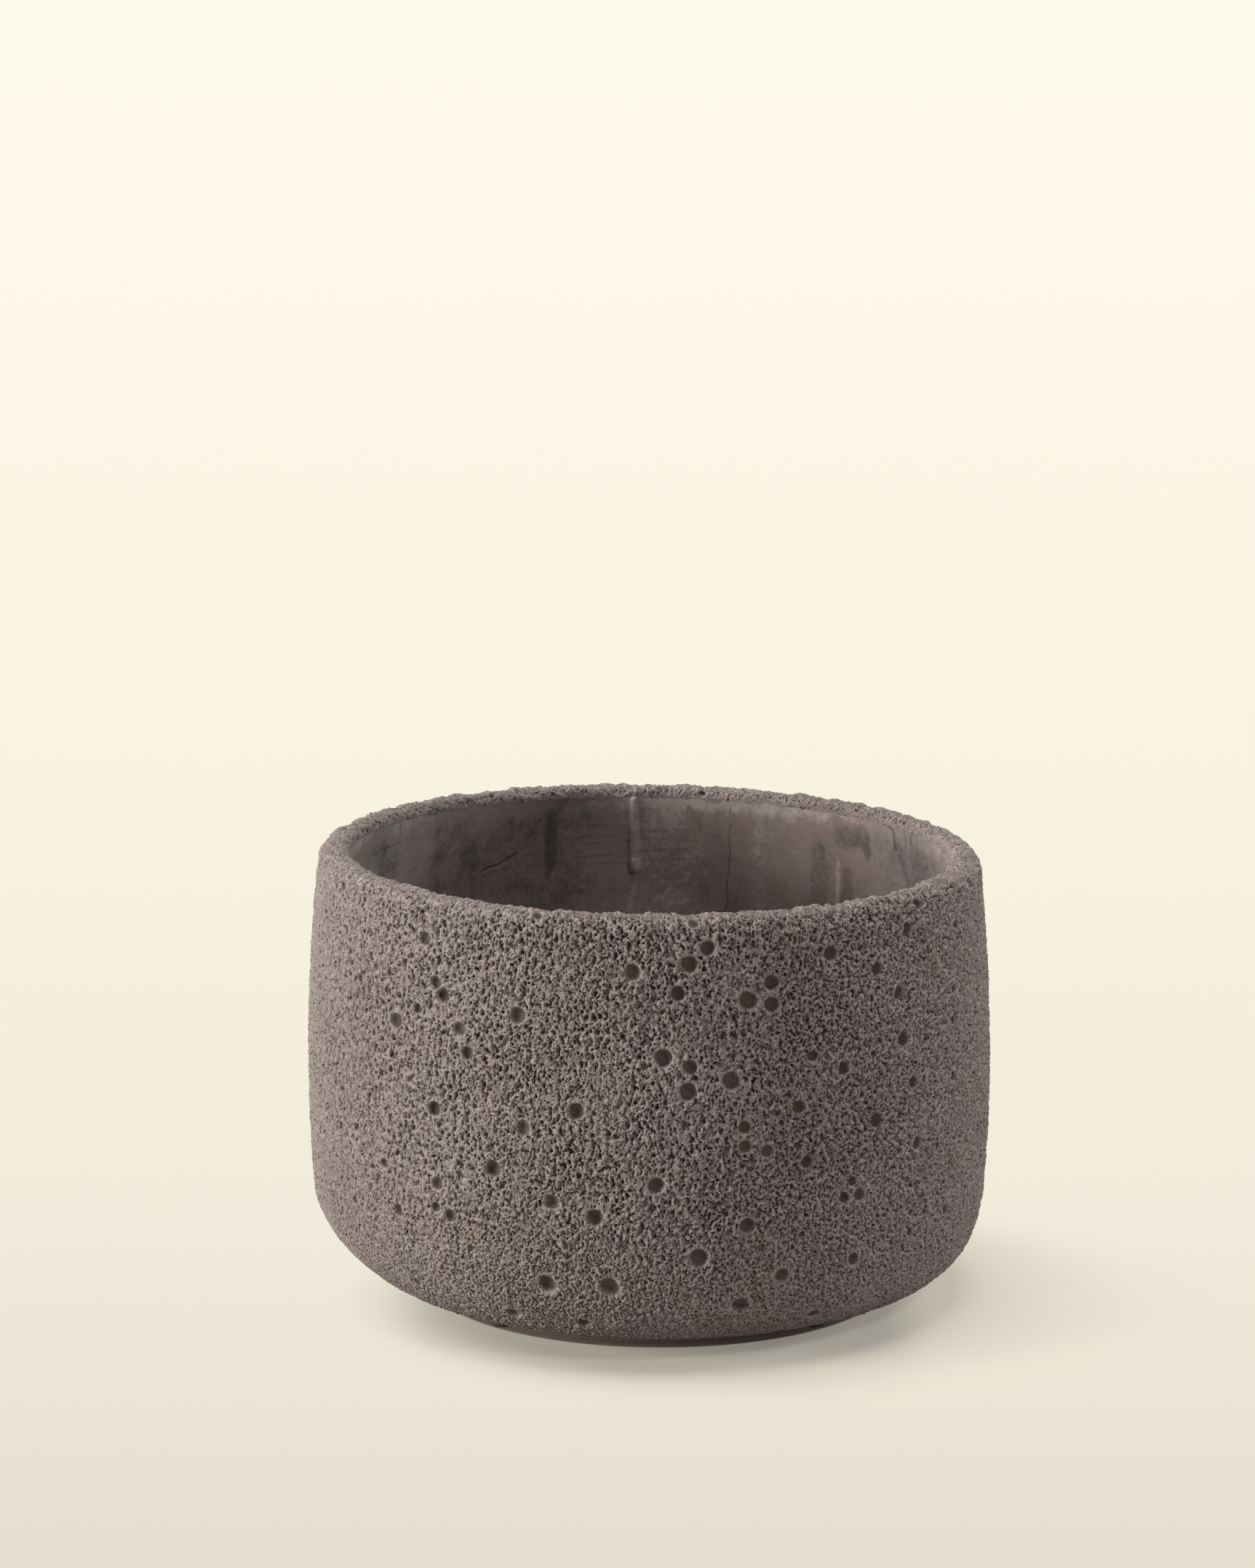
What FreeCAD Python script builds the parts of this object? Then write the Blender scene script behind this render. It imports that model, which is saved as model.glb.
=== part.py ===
"""Round planter of fired clay with a rough coat, a rubber drain plug and felt pads under its foot.

+Z is up. The origin is the middle of the planter, on the surface that it stands on. Lengths are in
millimetres. Heights of the pot are counted from its foot, and the felt pads lift the foot off the surface.
"""

import FreeCAD, Part
import math
import os

import Sketcher
from FreeCAD import Vector

SIZES = {
    # Outer form of the pot
    "max_diameter": 289,
    "pot_height": 188,
    "widest_height": 96,
    "bulge_radius": 750,
    "corner_radius": 45,
    "rim_outer_round": 7,
    "rim_inner_round": 3,
    # Bare bevelled foot, whose ring has a recess inside it
    "foot_diameter": 197,
    "foot_bevel_width": 7,
    "foot_bevel_height": 4,
    "foot_ring_width": 14.5,
    "recess_depth": 3,
    # Coat, wall and floor
    "coat_thickness": 4,
    "shell_wall": 8,
    "floor_thickness": 12,
    "inner_corner_radius": 36,
    # Width of the mouths of the coat's craters
    "wide_crater": 7.6,
    "middle_crater": 6.6,
    "narrow_crater": 5.8,
    # Drain hole
    "drain_diameter": 20,
    "drain_edge_chamfer": 1.5,
    # Rubber drain plug
    "plug_flange_overlap": 6,
    "plug_flange_thickness": 3,
    "plug_flange_round": 1.2,
    "plug_rib_clearance": 0.05,
    "plug_rib_depth": 0.8,
    "plug_tip_length": 1,
    "plug_wall": 4,
    "plug_tab_length": 16,
    "plug_tab_thickness": 5,
    "plug_tab_height": 9,
    "plug_tab_round": 4,
    "plug_tab_edge_round": 0.8,
    # Felt pads
    "pad_diameter": 12,
    "pad_thickness": 2,
    "pad_edge_round": 0.4,
}

PAD_COUNT = 4
FIRST_PAD_ANGLE = 45
FULL_TURN = 360
PLUG_RIB_COUNT = 3
RIB_SIDE_SHARE = 0.3
TOLERANCE = 1e-6

CRATER_DEPTH_SHARE = 0.6

# Craters in the side that faces the front: turn around the pot in degrees, share of its height, size
FRONT_CRATERS = [
    (-130, 0.915, "narrow"), (-80.5, 0.94, "middle"), (-41.5, 0.93, "middle"), (-58.5, 0.91, "middle"),
    (-83.5, 0.905, "wide"), (-49.5, 0.86, "middle"), (-92.5, 0.89, "wide"), (-127.5, 0.825, "narrow"),
    (-69.5, 0.86, "middle"), (-85.5, 0.84, "middle"), (-44.5, 0.795, "middle"), (-125.5, 0.8, "middle"),
    (-74, 0.825, "wide"), (-70, 0.81, "middle"), (-111.5, 0.78, "wide"), (-136, 0.725, "middle"),
    (-122, 0.735, "narrow"), (-43.5, 0.695, "middle"), (-120.5, 0.685, "narrow"), (-87.5, 0.705, "wide"),
    (-83.5, 0.685, "middle"), (-57, 0.655, "narrow"), (-77, 0.65, "wide"), (-41, 0.59, "narrow"),
    (-84, 0.63, "wide"), (-65.5, 0.58, "narrow"), (-127, 0.55, "middle"), (-101.5, 0.58, "wide"),
    (-50, 0.525, "middle"), (-110.5, 0.535, "middle"), (-74.5, 0.545, "narrow"), (-40.5, 0.45, "narrow"),
    (-74.5, 0.505, "narrow"), (-70.5, 0.49, "narrow"), (-63.5, 0.455, "narrow"), (-116, 0.44, "wide"),
    (-126.5, 0.385, "narrow"), (-89, 0.425, "wide"), (-53.5, 0.365, "narrow"), (-105.5, 0.38, "middle"),
    (-136, 0.3, "narrow"), (-124, 0.32, "narrow"), (-98.5, 0.35, "wide"), (-74, 0.325, "middle"),
    (-82, 0.26, "wide"), (-54, 0.215, "narrow"), (-67.5, 0.205, "middle"), (-107, 0.19, "wide"),
    (-96.5, 0.19, "wide"), (-75, 0.14, "wide"), (-116.5, 0.1, "middle"), (-60.5, 0.09, "narrow"),
    (-103, 0.09, "narrow"),
]

# Craters in the far side, evenly scattered: how many, first turn, turns and heights that they take up
BACK_CRATER_COUNT = 44
BACK_FIRST_TURN = 12
BACK_TURNS = 156
BACK_LOWEST_SHARE = 0.1
BACK_SHARES = 0.83
SCATTER_STEPS = (0.7549, 0.5698)

BULGE_CENTRE_X = "(sizes.max_diameter / 2 - sizes.bulge_radius)"
FOOT_RADIUS = "sizes.foot_diameter / 2"
FOOT_EDGE_RADIUS = "sizes.foot_diameter / 2 + sizes.foot_bevel_width"
RECESS_RADIUS = "sizes.foot_diameter / 2 - sizes.foot_ring_width"
SHELL_TOP = "sizes.pot_height - sizes.coat_thickness"
WALL = "sizes.coat_thickness + sizes.shell_wall"
FLOOR_TOP = "sizes.recess_depth + sizes.floor_thickness"


def make_sheet(doc):
    """Puts every driving dimension in a cell of its own, under its own name."""
    sheet = doc.addObject("Spreadsheet::Sheet", "sizes")
    for row, (name, value) in enumerate(SIZES.items(), start=1):
        sheet.set(f"A{row}", name)
        sheet.set(f"B{row}", str(value))
        sheet.setAlias(f"B{row}", name)
    add_corner_cells(sheet, len(SIZES) + 1)
    doc.recompute()
    return sheet


def add_corner_cells(sheet, first_row):
    """Adds formulas for the middle of the corner's circle and for where that circle meets the bulge."""
    formulas = {
        "bulge_middle": "max_diameter / 2 - bulge_radius",
        "edge_out": "foot_diameter / 2 + foot_bevel_width - bulge_middle",
        "edge_up": "foot_bevel_height - widest_height",
        "edge_away": "sqrt(edge_out ^ 2 + edge_up ^ 2)",
        "corner_reach": "bulge_radius - corner_radius",
        "reach_along": "(corner_reach ^ 2 - corner_radius ^ 2 + edge_away ^ 2) / (2 * edge_away)",
        "reach_aside": "sqrt(corner_reach ^ 2 - reach_along ^ 2)",
        "corner_middle": "bulge_middle + (edge_out * reach_along - edge_up * reach_aside) / edge_away",
        "corner_level": "widest_height + (edge_up * reach_along + edge_out * reach_aside) / edge_away",
        "touch_level": "widest_height + (corner_level - widest_height) * bulge_radius / corner_reach",
    }
    for row, (name, formula) in enumerate(formulas.items(), start=first_row):
        sheet.set(f"A{row}", name)
        sheet.set(f"B{row}", f"={formula}")
        sheet.setAlias(f"B{row}", name)


class Outline:
    """A closed outline in a plane of its own body. Each segment starts where the last one ends."""

    ORIGIN = (-1, 1)
    LEVEL_AXIS_INDEX = -1
    UPRIGHT_AXIS_INDEX = -2
    CENTRE_INDEX = 3

    def __init__(self, body, name, plane_role="XZ_Plane"):
        self.sketch = body.newObject("Sketcher::SketchObject", name)
        plane = next(f for f in body.Origin.OriginFeatures if f.Role == plane_role)
        self.sketch.AttachmentSupport = [(plane, "")]
        self.sketch.MapMode = "FlatFace"
        self.segments = []

    def value(self, expression):
        """Number that an expression of the sheet's cells gives now."""
        found = self.sketch.evalExpression(expression)
        return float(getattr(found, "Value", found))

    def line(self, start, end):
        index = self.sketch.addGeometry(Part.LineSegment(Vector(*start, 0), Vector(*end, 0)), False)
        self.segments.append((index, 1, 2))
        return index

    def arc(self, centre, radius, start, end):
        """An arc from one point to the other, the short way round its centre."""
        first = math.atan2(start[1] - centre[1], start[0] - centre[0])
        last = math.atan2(end[1] - centre[1], end[0] - centre[0])
        turn = (last - first + math.pi) % (2 * math.pi) - math.pi
        circle = Part.Circle(Vector(*centre, 0), Vector(0, 0, 1), radius)
        if turn > 0:
            index = self.sketch.addGeometry(Part.ArcOfCircle(circle, first, first + turn), False)
            self.segments.append((index, 1, 2))
        else:
            index = self.sketch.addGeometry(Part.ArcOfCircle(circle, last, last - turn), False)
            self.segments.append((index, 2, 1))
        return index

    def constrain(self, kind, *references):
        self.sketch.addConstraint(Sketcher.Constraint(kind, *references))

    def bind(self, kind, *references, to):
        """Adds a constraint whose value is an expression of the sheet's cells."""
        number = self.value(to)
        index = self.sketch.addConstraint(Sketcher.Constraint(kind, *references, number))
        self.sketch.setExpression(f"Constraints[{index}]", to)

    def pin_x(self, point, to):
        """Holds a point at a distance from the upright axis, or on it where there is no distance."""
        if to is None:
            self.constrain("PointOnObject", *point, self.UPRIGHT_AXIS_INDEX)
        else:
            self.bind("DistanceX", *self.ORIGIN, *point, to=to)

    def pin_y(self, point, to):
        """Holds a point at a height above the level axis, or on it where there is no height."""
        if to is None:
            self.constrain("PointOnObject", *point, self.LEVEL_AXIS_INDEX)
        else:
            self.bind("DistanceY", *self.ORIGIN, *point, to=to)

    def start_of(self, segment):
        index, first, _ = self.segments[segment]
        return (index, first)

    def join(self, smooth=()):
        """Joins the segments end to end and closes the outline. Pairs named in smooth are tangent."""
        for here, (index, _, last) in enumerate(self.segments):
            after, first, _ = self.segments[(here + 1) % len(self.segments)]
            kind = "Tangent" if (index, after) in smooth else "Coincident"
            self.constrain(kind, index, last, after, first)

    def polygon(self, corners):
        """Straight outline through corners, each given as the expressions of its two distances."""
        places = [[0 if to is None else self.value(to) for to in corner] for corner in corners]
        for here, place in enumerate(places):
            self.line(place, places[(here + 1) % len(places)])
        self.join()
        for segment, (across, up) in enumerate(corners):
            self.pin_x(self.start_of(segment), across)
            self.pin_y(self.start_of(segment), up)

    def circle(self, diameter):
        """A circle around the origin, whose diameter is an expression."""
        circle = Part.Circle(Vector(0, 0, 0), Vector(0, 0, 1), self.value(diameter) / 2)
        index = self.sketch.addGeometry(circle, False)
        self.constrain("Coincident", index, self.CENTRE_INDEX, *self.ORIGIN)
        self.bind("Diameter", index, to=diameter)


class PotForm:
    """Where the circles of the pot's section meet, as (radius, height) worked out from the sheet."""

    def __init__(self, sheet):
        self.pot_height = sheet.pot_height
        self.bulge_radius = sheet.bulge_radius
        self.bulge_centre = (sheet.max_diameter / 2 - sheet.bulge_radius, sheet.widest_height)
        self.corner_radius = sheet.corner_radius
        self.foot_edge = (
            sheet.foot_diameter / 2 + sheet.foot_bevel_width,
            sheet.foot_bevel_height,
        )
        self.corner_centre = self.find_corner_centre()

    def find_corner_centre(self):
        """The corner's circle touches the bulge from inside and passes through the foot's edge."""
        across = Vector(*self.foot_edge, 0) - Vector(*self.bulge_centre, 0)
        reach = self.bulge_radius - self.corner_radius
        along = (reach**2 - self.corner_radius**2 + across.Length**2) / (2 * across.Length)
        aside = math.sqrt(reach**2 - along**2)
        unit = across.normalize()
        centre = Vector(*self.bulge_centre, 0) + unit * along + Vector(-unit.y, unit.x, 0) * aside
        return (centre.x, centre.y)

    def on_bulge(self, height, inset=0):
        """Point at a height on the bulge, moved in by inset."""
        reach = self.bulge_radius - inset
        rise = height - self.bulge_centre[1]
        return (self.bulge_centre[0] + math.sqrt(reach**2 - rise**2), height)

    def slope_at(self, share):
        """Degrees that the outside leans back from upright at a share of the pot's height."""
        height = share * self.pot_height
        if height > self.touch(self.corner_centre)[1]:
            return math.degrees(math.asin((height - self.bulge_centre[1]) / self.bulge_radius))
        return math.degrees(math.asin((height - self.corner_centre[1]) / self.corner_radius))

    def touch(self, centre, inset=0):
        """Point where the bulge, moved in by inset, touches a circle around centre."""
        away = (Vector(*centre, 0) - Vector(*self.bulge_centre, 0)).normalize()
        point = Vector(*self.bulge_centre, 0) + away * (self.bulge_radius - inset)
        return (point.x, point.y)

    def centre_within(self, radius, height, inset=0):
        """Centre at a height of a circle that touches the bulge, moved in by inset, from inside."""
        return self.on_bulge(height, inset + radius)

    def coat_end(self, thickness):
        """Inner corner of the coat's lower edge, which stands square to the coat's surface."""
        inward = (Vector(*self.corner_centre, 0) - Vector(*self.foot_edge, 0)).normalize()
        point = Vector(*self.foot_edge, 0) + inward * thickness
        return (point.x, point.y)


def new_body(doc, name, height):
    """An empty body that stands at a height given as an expression."""
    body = doc.addObject("PartDesign::Body", name)
    body.Label = name
    body.setExpression(".Placement.Base.z", height)
    return body


def revolve(doc, body, outline, name):
    """Turns an outline once around the upright axis."""
    feature = body.newObject("PartDesign::Revolution", name)
    feature.Profile = outline.sketch
    feature.ReferenceAxis = (outline.sketch, ["V_Axis"])
    feature.Angle = FULL_TURN
    doc.recompute()
    return feature


def dress(body, kind, name, base, edges, property_name, size):
    """Adds a chamfer or fillet of a bound size on edges of the feature before it."""
    if not edges:
        raise RuntimeError(f"{name} finds no edge")
    feature = body.newObject(f"PartDesign::{kind}", name)
    feature.Base = (base, edges)
    feature.setExpression(property_name, size)
    body.Tip = feature
    return feature


def round_edges(shape, height, radius):
    """Names of the circular edges around the upright axis at one height and radius."""
    names = []
    for number, edge in enumerate(shape.Edges, start=1):
        if not isinstance(edge.Curve, Part.Circle):
            continue
        off_height = abs(edge.Curve.Center.z - height)
        off_radius = abs(edge.Curve.Radius - radius)
        if off_height < TOLERANCE and off_radius < TOLERANCE:
            names.append(f"Edge{number}")
    return names


def bind_bulge(outline, arc, radius):
    """Holds an arc's centre at the centre of the pot's bulge, and its radius at an expression."""
    outline.pin_x((arc, Outline.CENTRE_INDEX), BULGE_CENTRE_X)
    outline.pin_y((arc, Outline.CENTRE_INDEX), "sizes.widest_height")
    outline.bind("Radius", arc, to=radius)


def make_pot_shell(doc, sheet, form):
    """Fired clay shell: smooth inside, a bare bevelled foot, and a drain hole through the floor."""
    body = new_body(doc, "pot_shell", "sizes.pad_thickness")
    outline = Outline(body, "shell_section")
    coat = sheet.coat_thickness
    wall = coat + sheet.shell_wall
    top = sheet.pot_height - coat
    floor_height = sheet.recess_depth + sheet.floor_thickness
    inner_centre = form.centre_within(
        sheet.inner_corner_radius, floor_height + sheet.inner_corner_radius, wall
    )
    recess_radius = sheet.foot_diameter / 2 - sheet.foot_ring_width
    foot_radius = sheet.foot_diameter / 2

    ceiling = outline.line((0, sheet.recess_depth), (recess_radius, sheet.recess_depth))
    recess_side = outline.line((recess_radius, sheet.recess_depth), (recess_radius, 0))
    ring = outline.line((recess_radius, 0), (foot_radius, 0))
    bevel = outline.line((foot_radius, 0), form.foot_edge)
    shoulder = outline.line(form.foot_edge, form.coat_end(coat))
    corner = outline.arc(
        form.corner_centre,
        form.corner_radius - coat,
        form.coat_end(coat),
        form.touch(form.corner_centre, coat),
    )
    outside = outline.arc(
        form.bulge_centre,
        form.bulge_radius - coat,
        form.touch(form.corner_centre, coat),
        form.on_bulge(top, coat),
    )
    crown = outline.line(form.on_bulge(top, coat), form.on_bulge(top, wall))
    inside = outline.arc(
        form.bulge_centre,
        form.bulge_radius - wall,
        form.on_bulge(top, wall),
        form.touch(inner_centre, wall),
    )
    inner_corner = outline.arc(
        inner_centre,
        sheet.inner_corner_radius,
        form.touch(inner_centre, wall),
        (inner_centre[0], floor_height),
    )
    floor = outline.line((inner_centre[0], floor_height), (0, floor_height))
    axis = outline.line((0, floor_height), (0, sheet.recess_depth))
    outline.join(smooth={(corner, outside), (inside, inner_corner), (inner_corner, floor)})

    for level in (ceiling, crown, floor):
        outline.constrain("Horizontal", level)
    outline.constrain("Vertical", recess_side)
    outline.pin_x((axis, 1), None)
    outline.pin_x((axis, 2), None)
    outline.pin_y((ceiling, 1), "sizes.recess_depth")
    outline.pin_x((ring, 1), RECESS_RADIUS)
    outline.pin_y((ring, 1), None)
    outline.pin_x((bevel, 1), FOOT_RADIUS)
    outline.pin_y((bevel, 1), None)
    outline.pin_x((bevel, 2), FOOT_EDGE_RADIUS)
    outline.pin_y((bevel, 2), "sizes.foot_bevel_height")
    outline.bind("Distance", shoulder, to="sizes.coat_thickness")
    outline.constrain("PointOnObject", corner, Outline.CENTRE_INDEX, shoulder)
    outline.bind("Radius", corner, to="sizes.corner_radius - sizes.coat_thickness")
    bind_bulge(outline, outside, "sizes.bulge_radius - sizes.coat_thickness")
    outline.pin_y((crown, 1), SHELL_TOP)
    bind_bulge(outline, inside, f"sizes.bulge_radius - ({WALL})")
    outline.bind("Radius", inner_corner, to="sizes.inner_corner_radius")
    outline.pin_y((floor, 2), FLOOR_TOP)
    solid = revolve(doc, body, outline, "wall_and_floor")

    drain = Outline(body, "drain_circle", "XY_Plane")
    drain.circle("sizes.drain_diameter")
    hole = body.newObject("PartDesign::Pocket", "drain_hole")
    hole.Profile = drain.sketch
    hole.Type = "ThroughAll"
    hole.Reversed = True
    doc.recompute()
    if hole.Shape.Volume >= solid.Shape.Volume:
        raise RuntimeError("the drain hole cuts nothing")
    rim_of_hole = round_edges(hole.Shape, floor_height, sheet.drain_diameter / 2)
    dress(body, "Chamfer", "drain_edge", hole, rim_of_hole, "Size", "sizes.drain_edge_chamfer")
    return body


def make_rough_coat(doc, sheet, form):
    """Coat over the wall and the rim. It ends above the foot's bevel and at the smooth inside."""
    body = new_body(doc, "even_coat", "sizes.pad_thickness")
    outline = Outline(body, "coat_section")
    coat = sheet.coat_thickness
    top = sheet.pot_height
    shell_top = top - coat
    outer_round = sheet.rim_outer_round
    inner_round = sheet.rim_inner_round
    inner_radius = form.on_bulge(shell_top, coat + sheet.shell_wall)[0]
    round_centre = form.centre_within(outer_round, top - outer_round)
    lip_centre = (inner_radius + inner_round, top - inner_round)

    corner = outline.arc(
        form.corner_centre, form.corner_radius, form.foot_edge, form.touch(form.corner_centre)
    )
    outside = outline.arc(
        form.bulge_centre,
        form.bulge_radius,
        form.touch(form.corner_centre),
        form.touch(round_centre),
    )
    shoulder_round = outline.arc(
        round_centre, outer_round, form.touch(round_centre), (round_centre[0], top)
    )
    crown = outline.line((round_centre[0], top), (lip_centre[0], top))
    lip_round = outline.arc(
        lip_centre, inner_round, (lip_centre[0], top), (inner_radius, lip_centre[1])
    )
    lip = outline.line((inner_radius, lip_centre[1]), (inner_radius, shell_top))
    seat = outline.line((inner_radius, shell_top), form.on_bulge(shell_top, coat))
    back = outline.arc(
        form.bulge_centre,
        form.bulge_radius - coat,
        form.on_bulge(shell_top, coat),
        form.touch(form.corner_centre, coat),
    )
    back_corner = outline.arc(
        form.corner_centre,
        form.corner_radius - coat,
        form.touch(form.corner_centre, coat),
        form.coat_end(coat),
    )
    end = outline.line(form.coat_end(coat), form.foot_edge)
    outline.join(
        smooth={
            (corner, outside),
            (outside, shoulder_round),
            (shoulder_round, crown),
            (crown, lip_round),
            (lip_round, lip),
            (back, back_corner),
        }
    )

    outline.constrain("Horizontal", crown)
    outline.constrain("Horizontal", seat)
    outline.constrain("Vertical", lip)
    outline.pin_x((end, 2), FOOT_EDGE_RADIUS)
    outline.pin_y((end, 2), "sizes.foot_bevel_height")
    outline.bind("Radius", corner, to="sizes.corner_radius")
    bind_bulge(outline, outside, "sizes.bulge_radius")
    outline.bind("Radius", shoulder_round, to="sizes.rim_outer_round")
    outline.pin_y((crown, 1), "sizes.pot_height")
    outline.bind("Radius", lip_round, to="sizes.rim_inner_round")
    outline.pin_x(
        (seat, 1),
        f"{BULGE_CENTRE_X} + sqrt((sizes.bulge_radius - ({WALL})) ^ 2"
        f" - ({SHELL_TOP} - sizes.widest_height) ^ 2)",
    )
    outline.pin_y((seat, 1), SHELL_TOP)
    bind_bulge(outline, back, "sizes.bulge_radius - sizes.coat_thickness")
    outline.bind("Distance", end, to="sizes.coat_thickness")
    outline.constrain("PointOnObject", back_corner, Outline.CENTRE_INDEX, end)
    outline.bind("Radius", back_corner, to="sizes.corner_radius - sizes.coat_thickness")
    revolve(doc, body, outline, "coat")
    return cut_craters(doc, body, form)


def back_craters():
    """Craters of the far side, in the same form as those of the front."""
    places = []
    for number in range(1, BACK_CRATER_COUNT + 1):
        across, up = ((number * step) % 1 for step in SCATTER_STEPS)
        turn = BACK_FIRST_TURN + BACK_TURNS * across
        size = ("narrow", "middle", "wide")[number % 3]
        places.append((turn, BACK_LOWEST_SHARE + BACK_SHARES * up, size))
    return places


def make_ball(doc, form, number, turn, share, size):
    """Ball whose part within the coat has the crater's mouth and depth."""
    mouth = f"sizes.{size}_crater / 2"
    depth = f"(sizes.coat_thickness * {CRATER_DEPTH_SHARE})"
    radius = f"(({mouth}) ^ 2 + {depth} ^ 2) / (2 * {depth})"
    out = f"({radius} - {depth})"
    level = f"(sizes.pot_height * {share:.4f})"
    on_bulge = circle_reach("sizes.bulge_middle", "sizes.bulge_radius", "sizes.widest_height", out, level)
    on_corner = circle_reach("sizes.corner_middle", "sizes.corner_radius", "sizes.corner_level", out, level)
    reach = f"({level} > sizes.touch_level ? {on_bulge} : {on_corner})"
    ball = doc.addObject("Part::Sphere", f"crater_{number}")
    ball.Placement.Rotation = FreeCAD.Rotation(turn, -form.slope_at(share), 0)
    ball.setExpression("Radius", radius)
    ball.setExpression(".Placement.Base.x", f"{reach} * cos({turn:.2f})")
    ball.setExpression(".Placement.Base.y", f"{reach} * sin({turn:.2f})")
    ball.setExpression(".Placement.Base.z", f"{level} + sizes.pad_thickness")
    return ball


def cut_craters(doc, body, form):
    """Cuts the craters into the coat's outside, each a part of a ball."""
    places = FRONT_CRATERS + back_craters()
    balls = doc.addObject("Part::MultiFuse", "craters")
    balls.Shapes = [make_ball(doc, form, number, *place) for number, place in enumerate(places, start=1)]
    coat = doc.addObject("Part::Cut", "rough_coat")
    coat.Base = body
    coat.Tool = balls
    doc.recompute()
    if coat.Shape.Volume >= body.Shape.Volume:
        raise RuntimeError("the craters cut nothing")
    return coat


def circle_reach(middle, radius, level_of_middle, out, level):
    """Distance from the upright axis, at a level, of a circle of the section that is moved out."""
    return f"({middle} + sqrt(({radius} + {out}) ^ 2 - ({level} - {level_of_middle}) ^ 2))"


def plug_corners():
    """Corners of half the plug's section, from the top of its hollow round to the flange's top."""
    tip = "sizes.plug_tip_length"
    flange = f"{tip} + sizes.floor_thickness"
    rib = "sizes.drain_diameter / 2 - sizes.plug_rib_clearance"
    core = f"{rib} - sizes.plug_rib_depth"
    bore = f"{core} - sizes.plug_wall"
    brim = "sizes.drain_diameter / 2 + sizes.plug_flange_overlap"
    roof = f"{flange} + sizes.plug_flange_thickness - sizes.plug_wall"
    top = f"{flange} + sizes.plug_flange_thickness"
    corners = [(None, roof), (bore, roof), (bore, None), (core, None)]
    for number in range(PLUG_RIB_COUNT):
        for reach, share in ((core, -RIB_SIDE_SHARE), (rib, 0), (core, RIB_SIDE_SHARE)):
            step = (number + 1 / 2 + share) / PLUG_RIB_COUNT
            corners.append((reach, f"{tip} + sizes.floor_thickness * {step:.6f}"))
    corners += [(core, flange), (brim, flange), (brim, top), (None, top)]
    return corners


def make_drain_plug(doc, sheet):
    """Hollow rubber plug: ribs grip the drain hole, a flange lies on the floor, a tab lifts it."""
    seat = "sizes.pad_thickness + sizes.recess_depth - sizes.plug_tip_length"
    body = new_body(doc, "drain_plug", seat)
    section = Outline(body, "plug_section")
    section.polygon(plug_corners())
    stopper = revolve(doc, body, section, "stopper")

    brim = sheet.drain_diameter / 2 + sheet.plug_flange_overlap
    flange_top = sheet.plug_tip_length + sheet.floor_thickness + sheet.plug_flange_thickness
    flange = dress(
        body,
        "Fillet",
        "flange_round",
        stopper,
        round_edges(stopper.Shape, flange_top, brim),
        "Radius",
        "sizes.plug_flange_round",
    )
    doc.recompute()

    tab_top = flange_top + sheet.plug_tab_height
    foot = "sizes.plug_tip_length + sizes.floor_thickness + sizes.plug_flange_thickness"
    side = "sizes.plug_tab_length / 2"
    tab_outline = Outline(body, "tab_outline")
    tab_outline.polygon(
        [
            (f"-{side}", foot),
            (side, foot),
            (side, f"{foot} + sizes.plug_tab_height"),
            (f"-{side}", f"{foot} + sizes.plug_tab_height"),
        ]
    )
    tab = body.newObject("PartDesign::Pad", "tab")
    tab.Profile = tab_outline.sketch
    tab.SideType = "Symmetric"
    tab.setExpression("Length", "sizes.plug_tab_thickness")
    doc.recompute()
    if tab.Shape.Volume <= flange.Shape.Volume:
        raise RuntimeError("the tab adds nothing")

    corners = tab_edges(tab.Shape, tab_top, lambda edge: abs(edge.tangentAt(0).y) > 1 - TOLERANCE)
    shaped = dress(
        body, "Fillet", "tab_corners", tab, corners, "Radius", "sizes.plug_tab_round"
    )
    doc.recompute()
    rims = tab_edges(shaped.Shape, tab_top, lambda edge: abs(edge.tangentAt(0).x) > 1 - TOLERANCE)
    dress(body, "Fillet", "tab_rims", shaped, rims, "Radius", "sizes.plug_tab_edge_round")
    return body


def tab_edges(shape, height, points_along):
    """Names of the straight level edges at the tab's top that point the wanted way."""
    names = []
    for number, edge in enumerate(shape.Edges, start=1):
        if not isinstance(edge.Curve, Part.Line):
            continue
        at_top = all(abs(vertex.Z - height) < TOLERANCE for vertex in edge.Vertexes)
        if at_top and points_along(edge):
            names.append(f"Edge{number}")
    return names


def make_foot_pad(doc, sheet, number):
    """Round felt pad stuck under the foot ring."""
    body = new_body(doc, f"foot_pad_{number}", "0")
    angle = FIRST_PAD_ANGLE + FULL_TURN / PAD_COUNT * (number - 1)
    ring_middle = "(sizes.foot_diameter - sizes.foot_ring_width) / 2"
    body.setExpression(".Placement.Base.x", f"{ring_middle} * cos({angle})")
    body.setExpression(".Placement.Base.y", f"{ring_middle} * sin({angle})")
    outline = Outline(body, f"pad_circle_{number}", "XY_Plane")
    outline.circle("sizes.pad_diameter")
    pad = body.newObject("PartDesign::Pad", f"pad_{number}")
    pad.Profile = outline.sketch
    pad.setExpression("Length", "sizes.pad_thickness")
    doc.recompute()
    lower_edge = round_edges(pad.Shape, 0, sheet.pad_diameter / 2)
    dress(
        body, "Fillet", f"pad_round_{number}", pad, lower_edge, "Radius", "sizes.pad_edge_round"
    )
    return body


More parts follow.
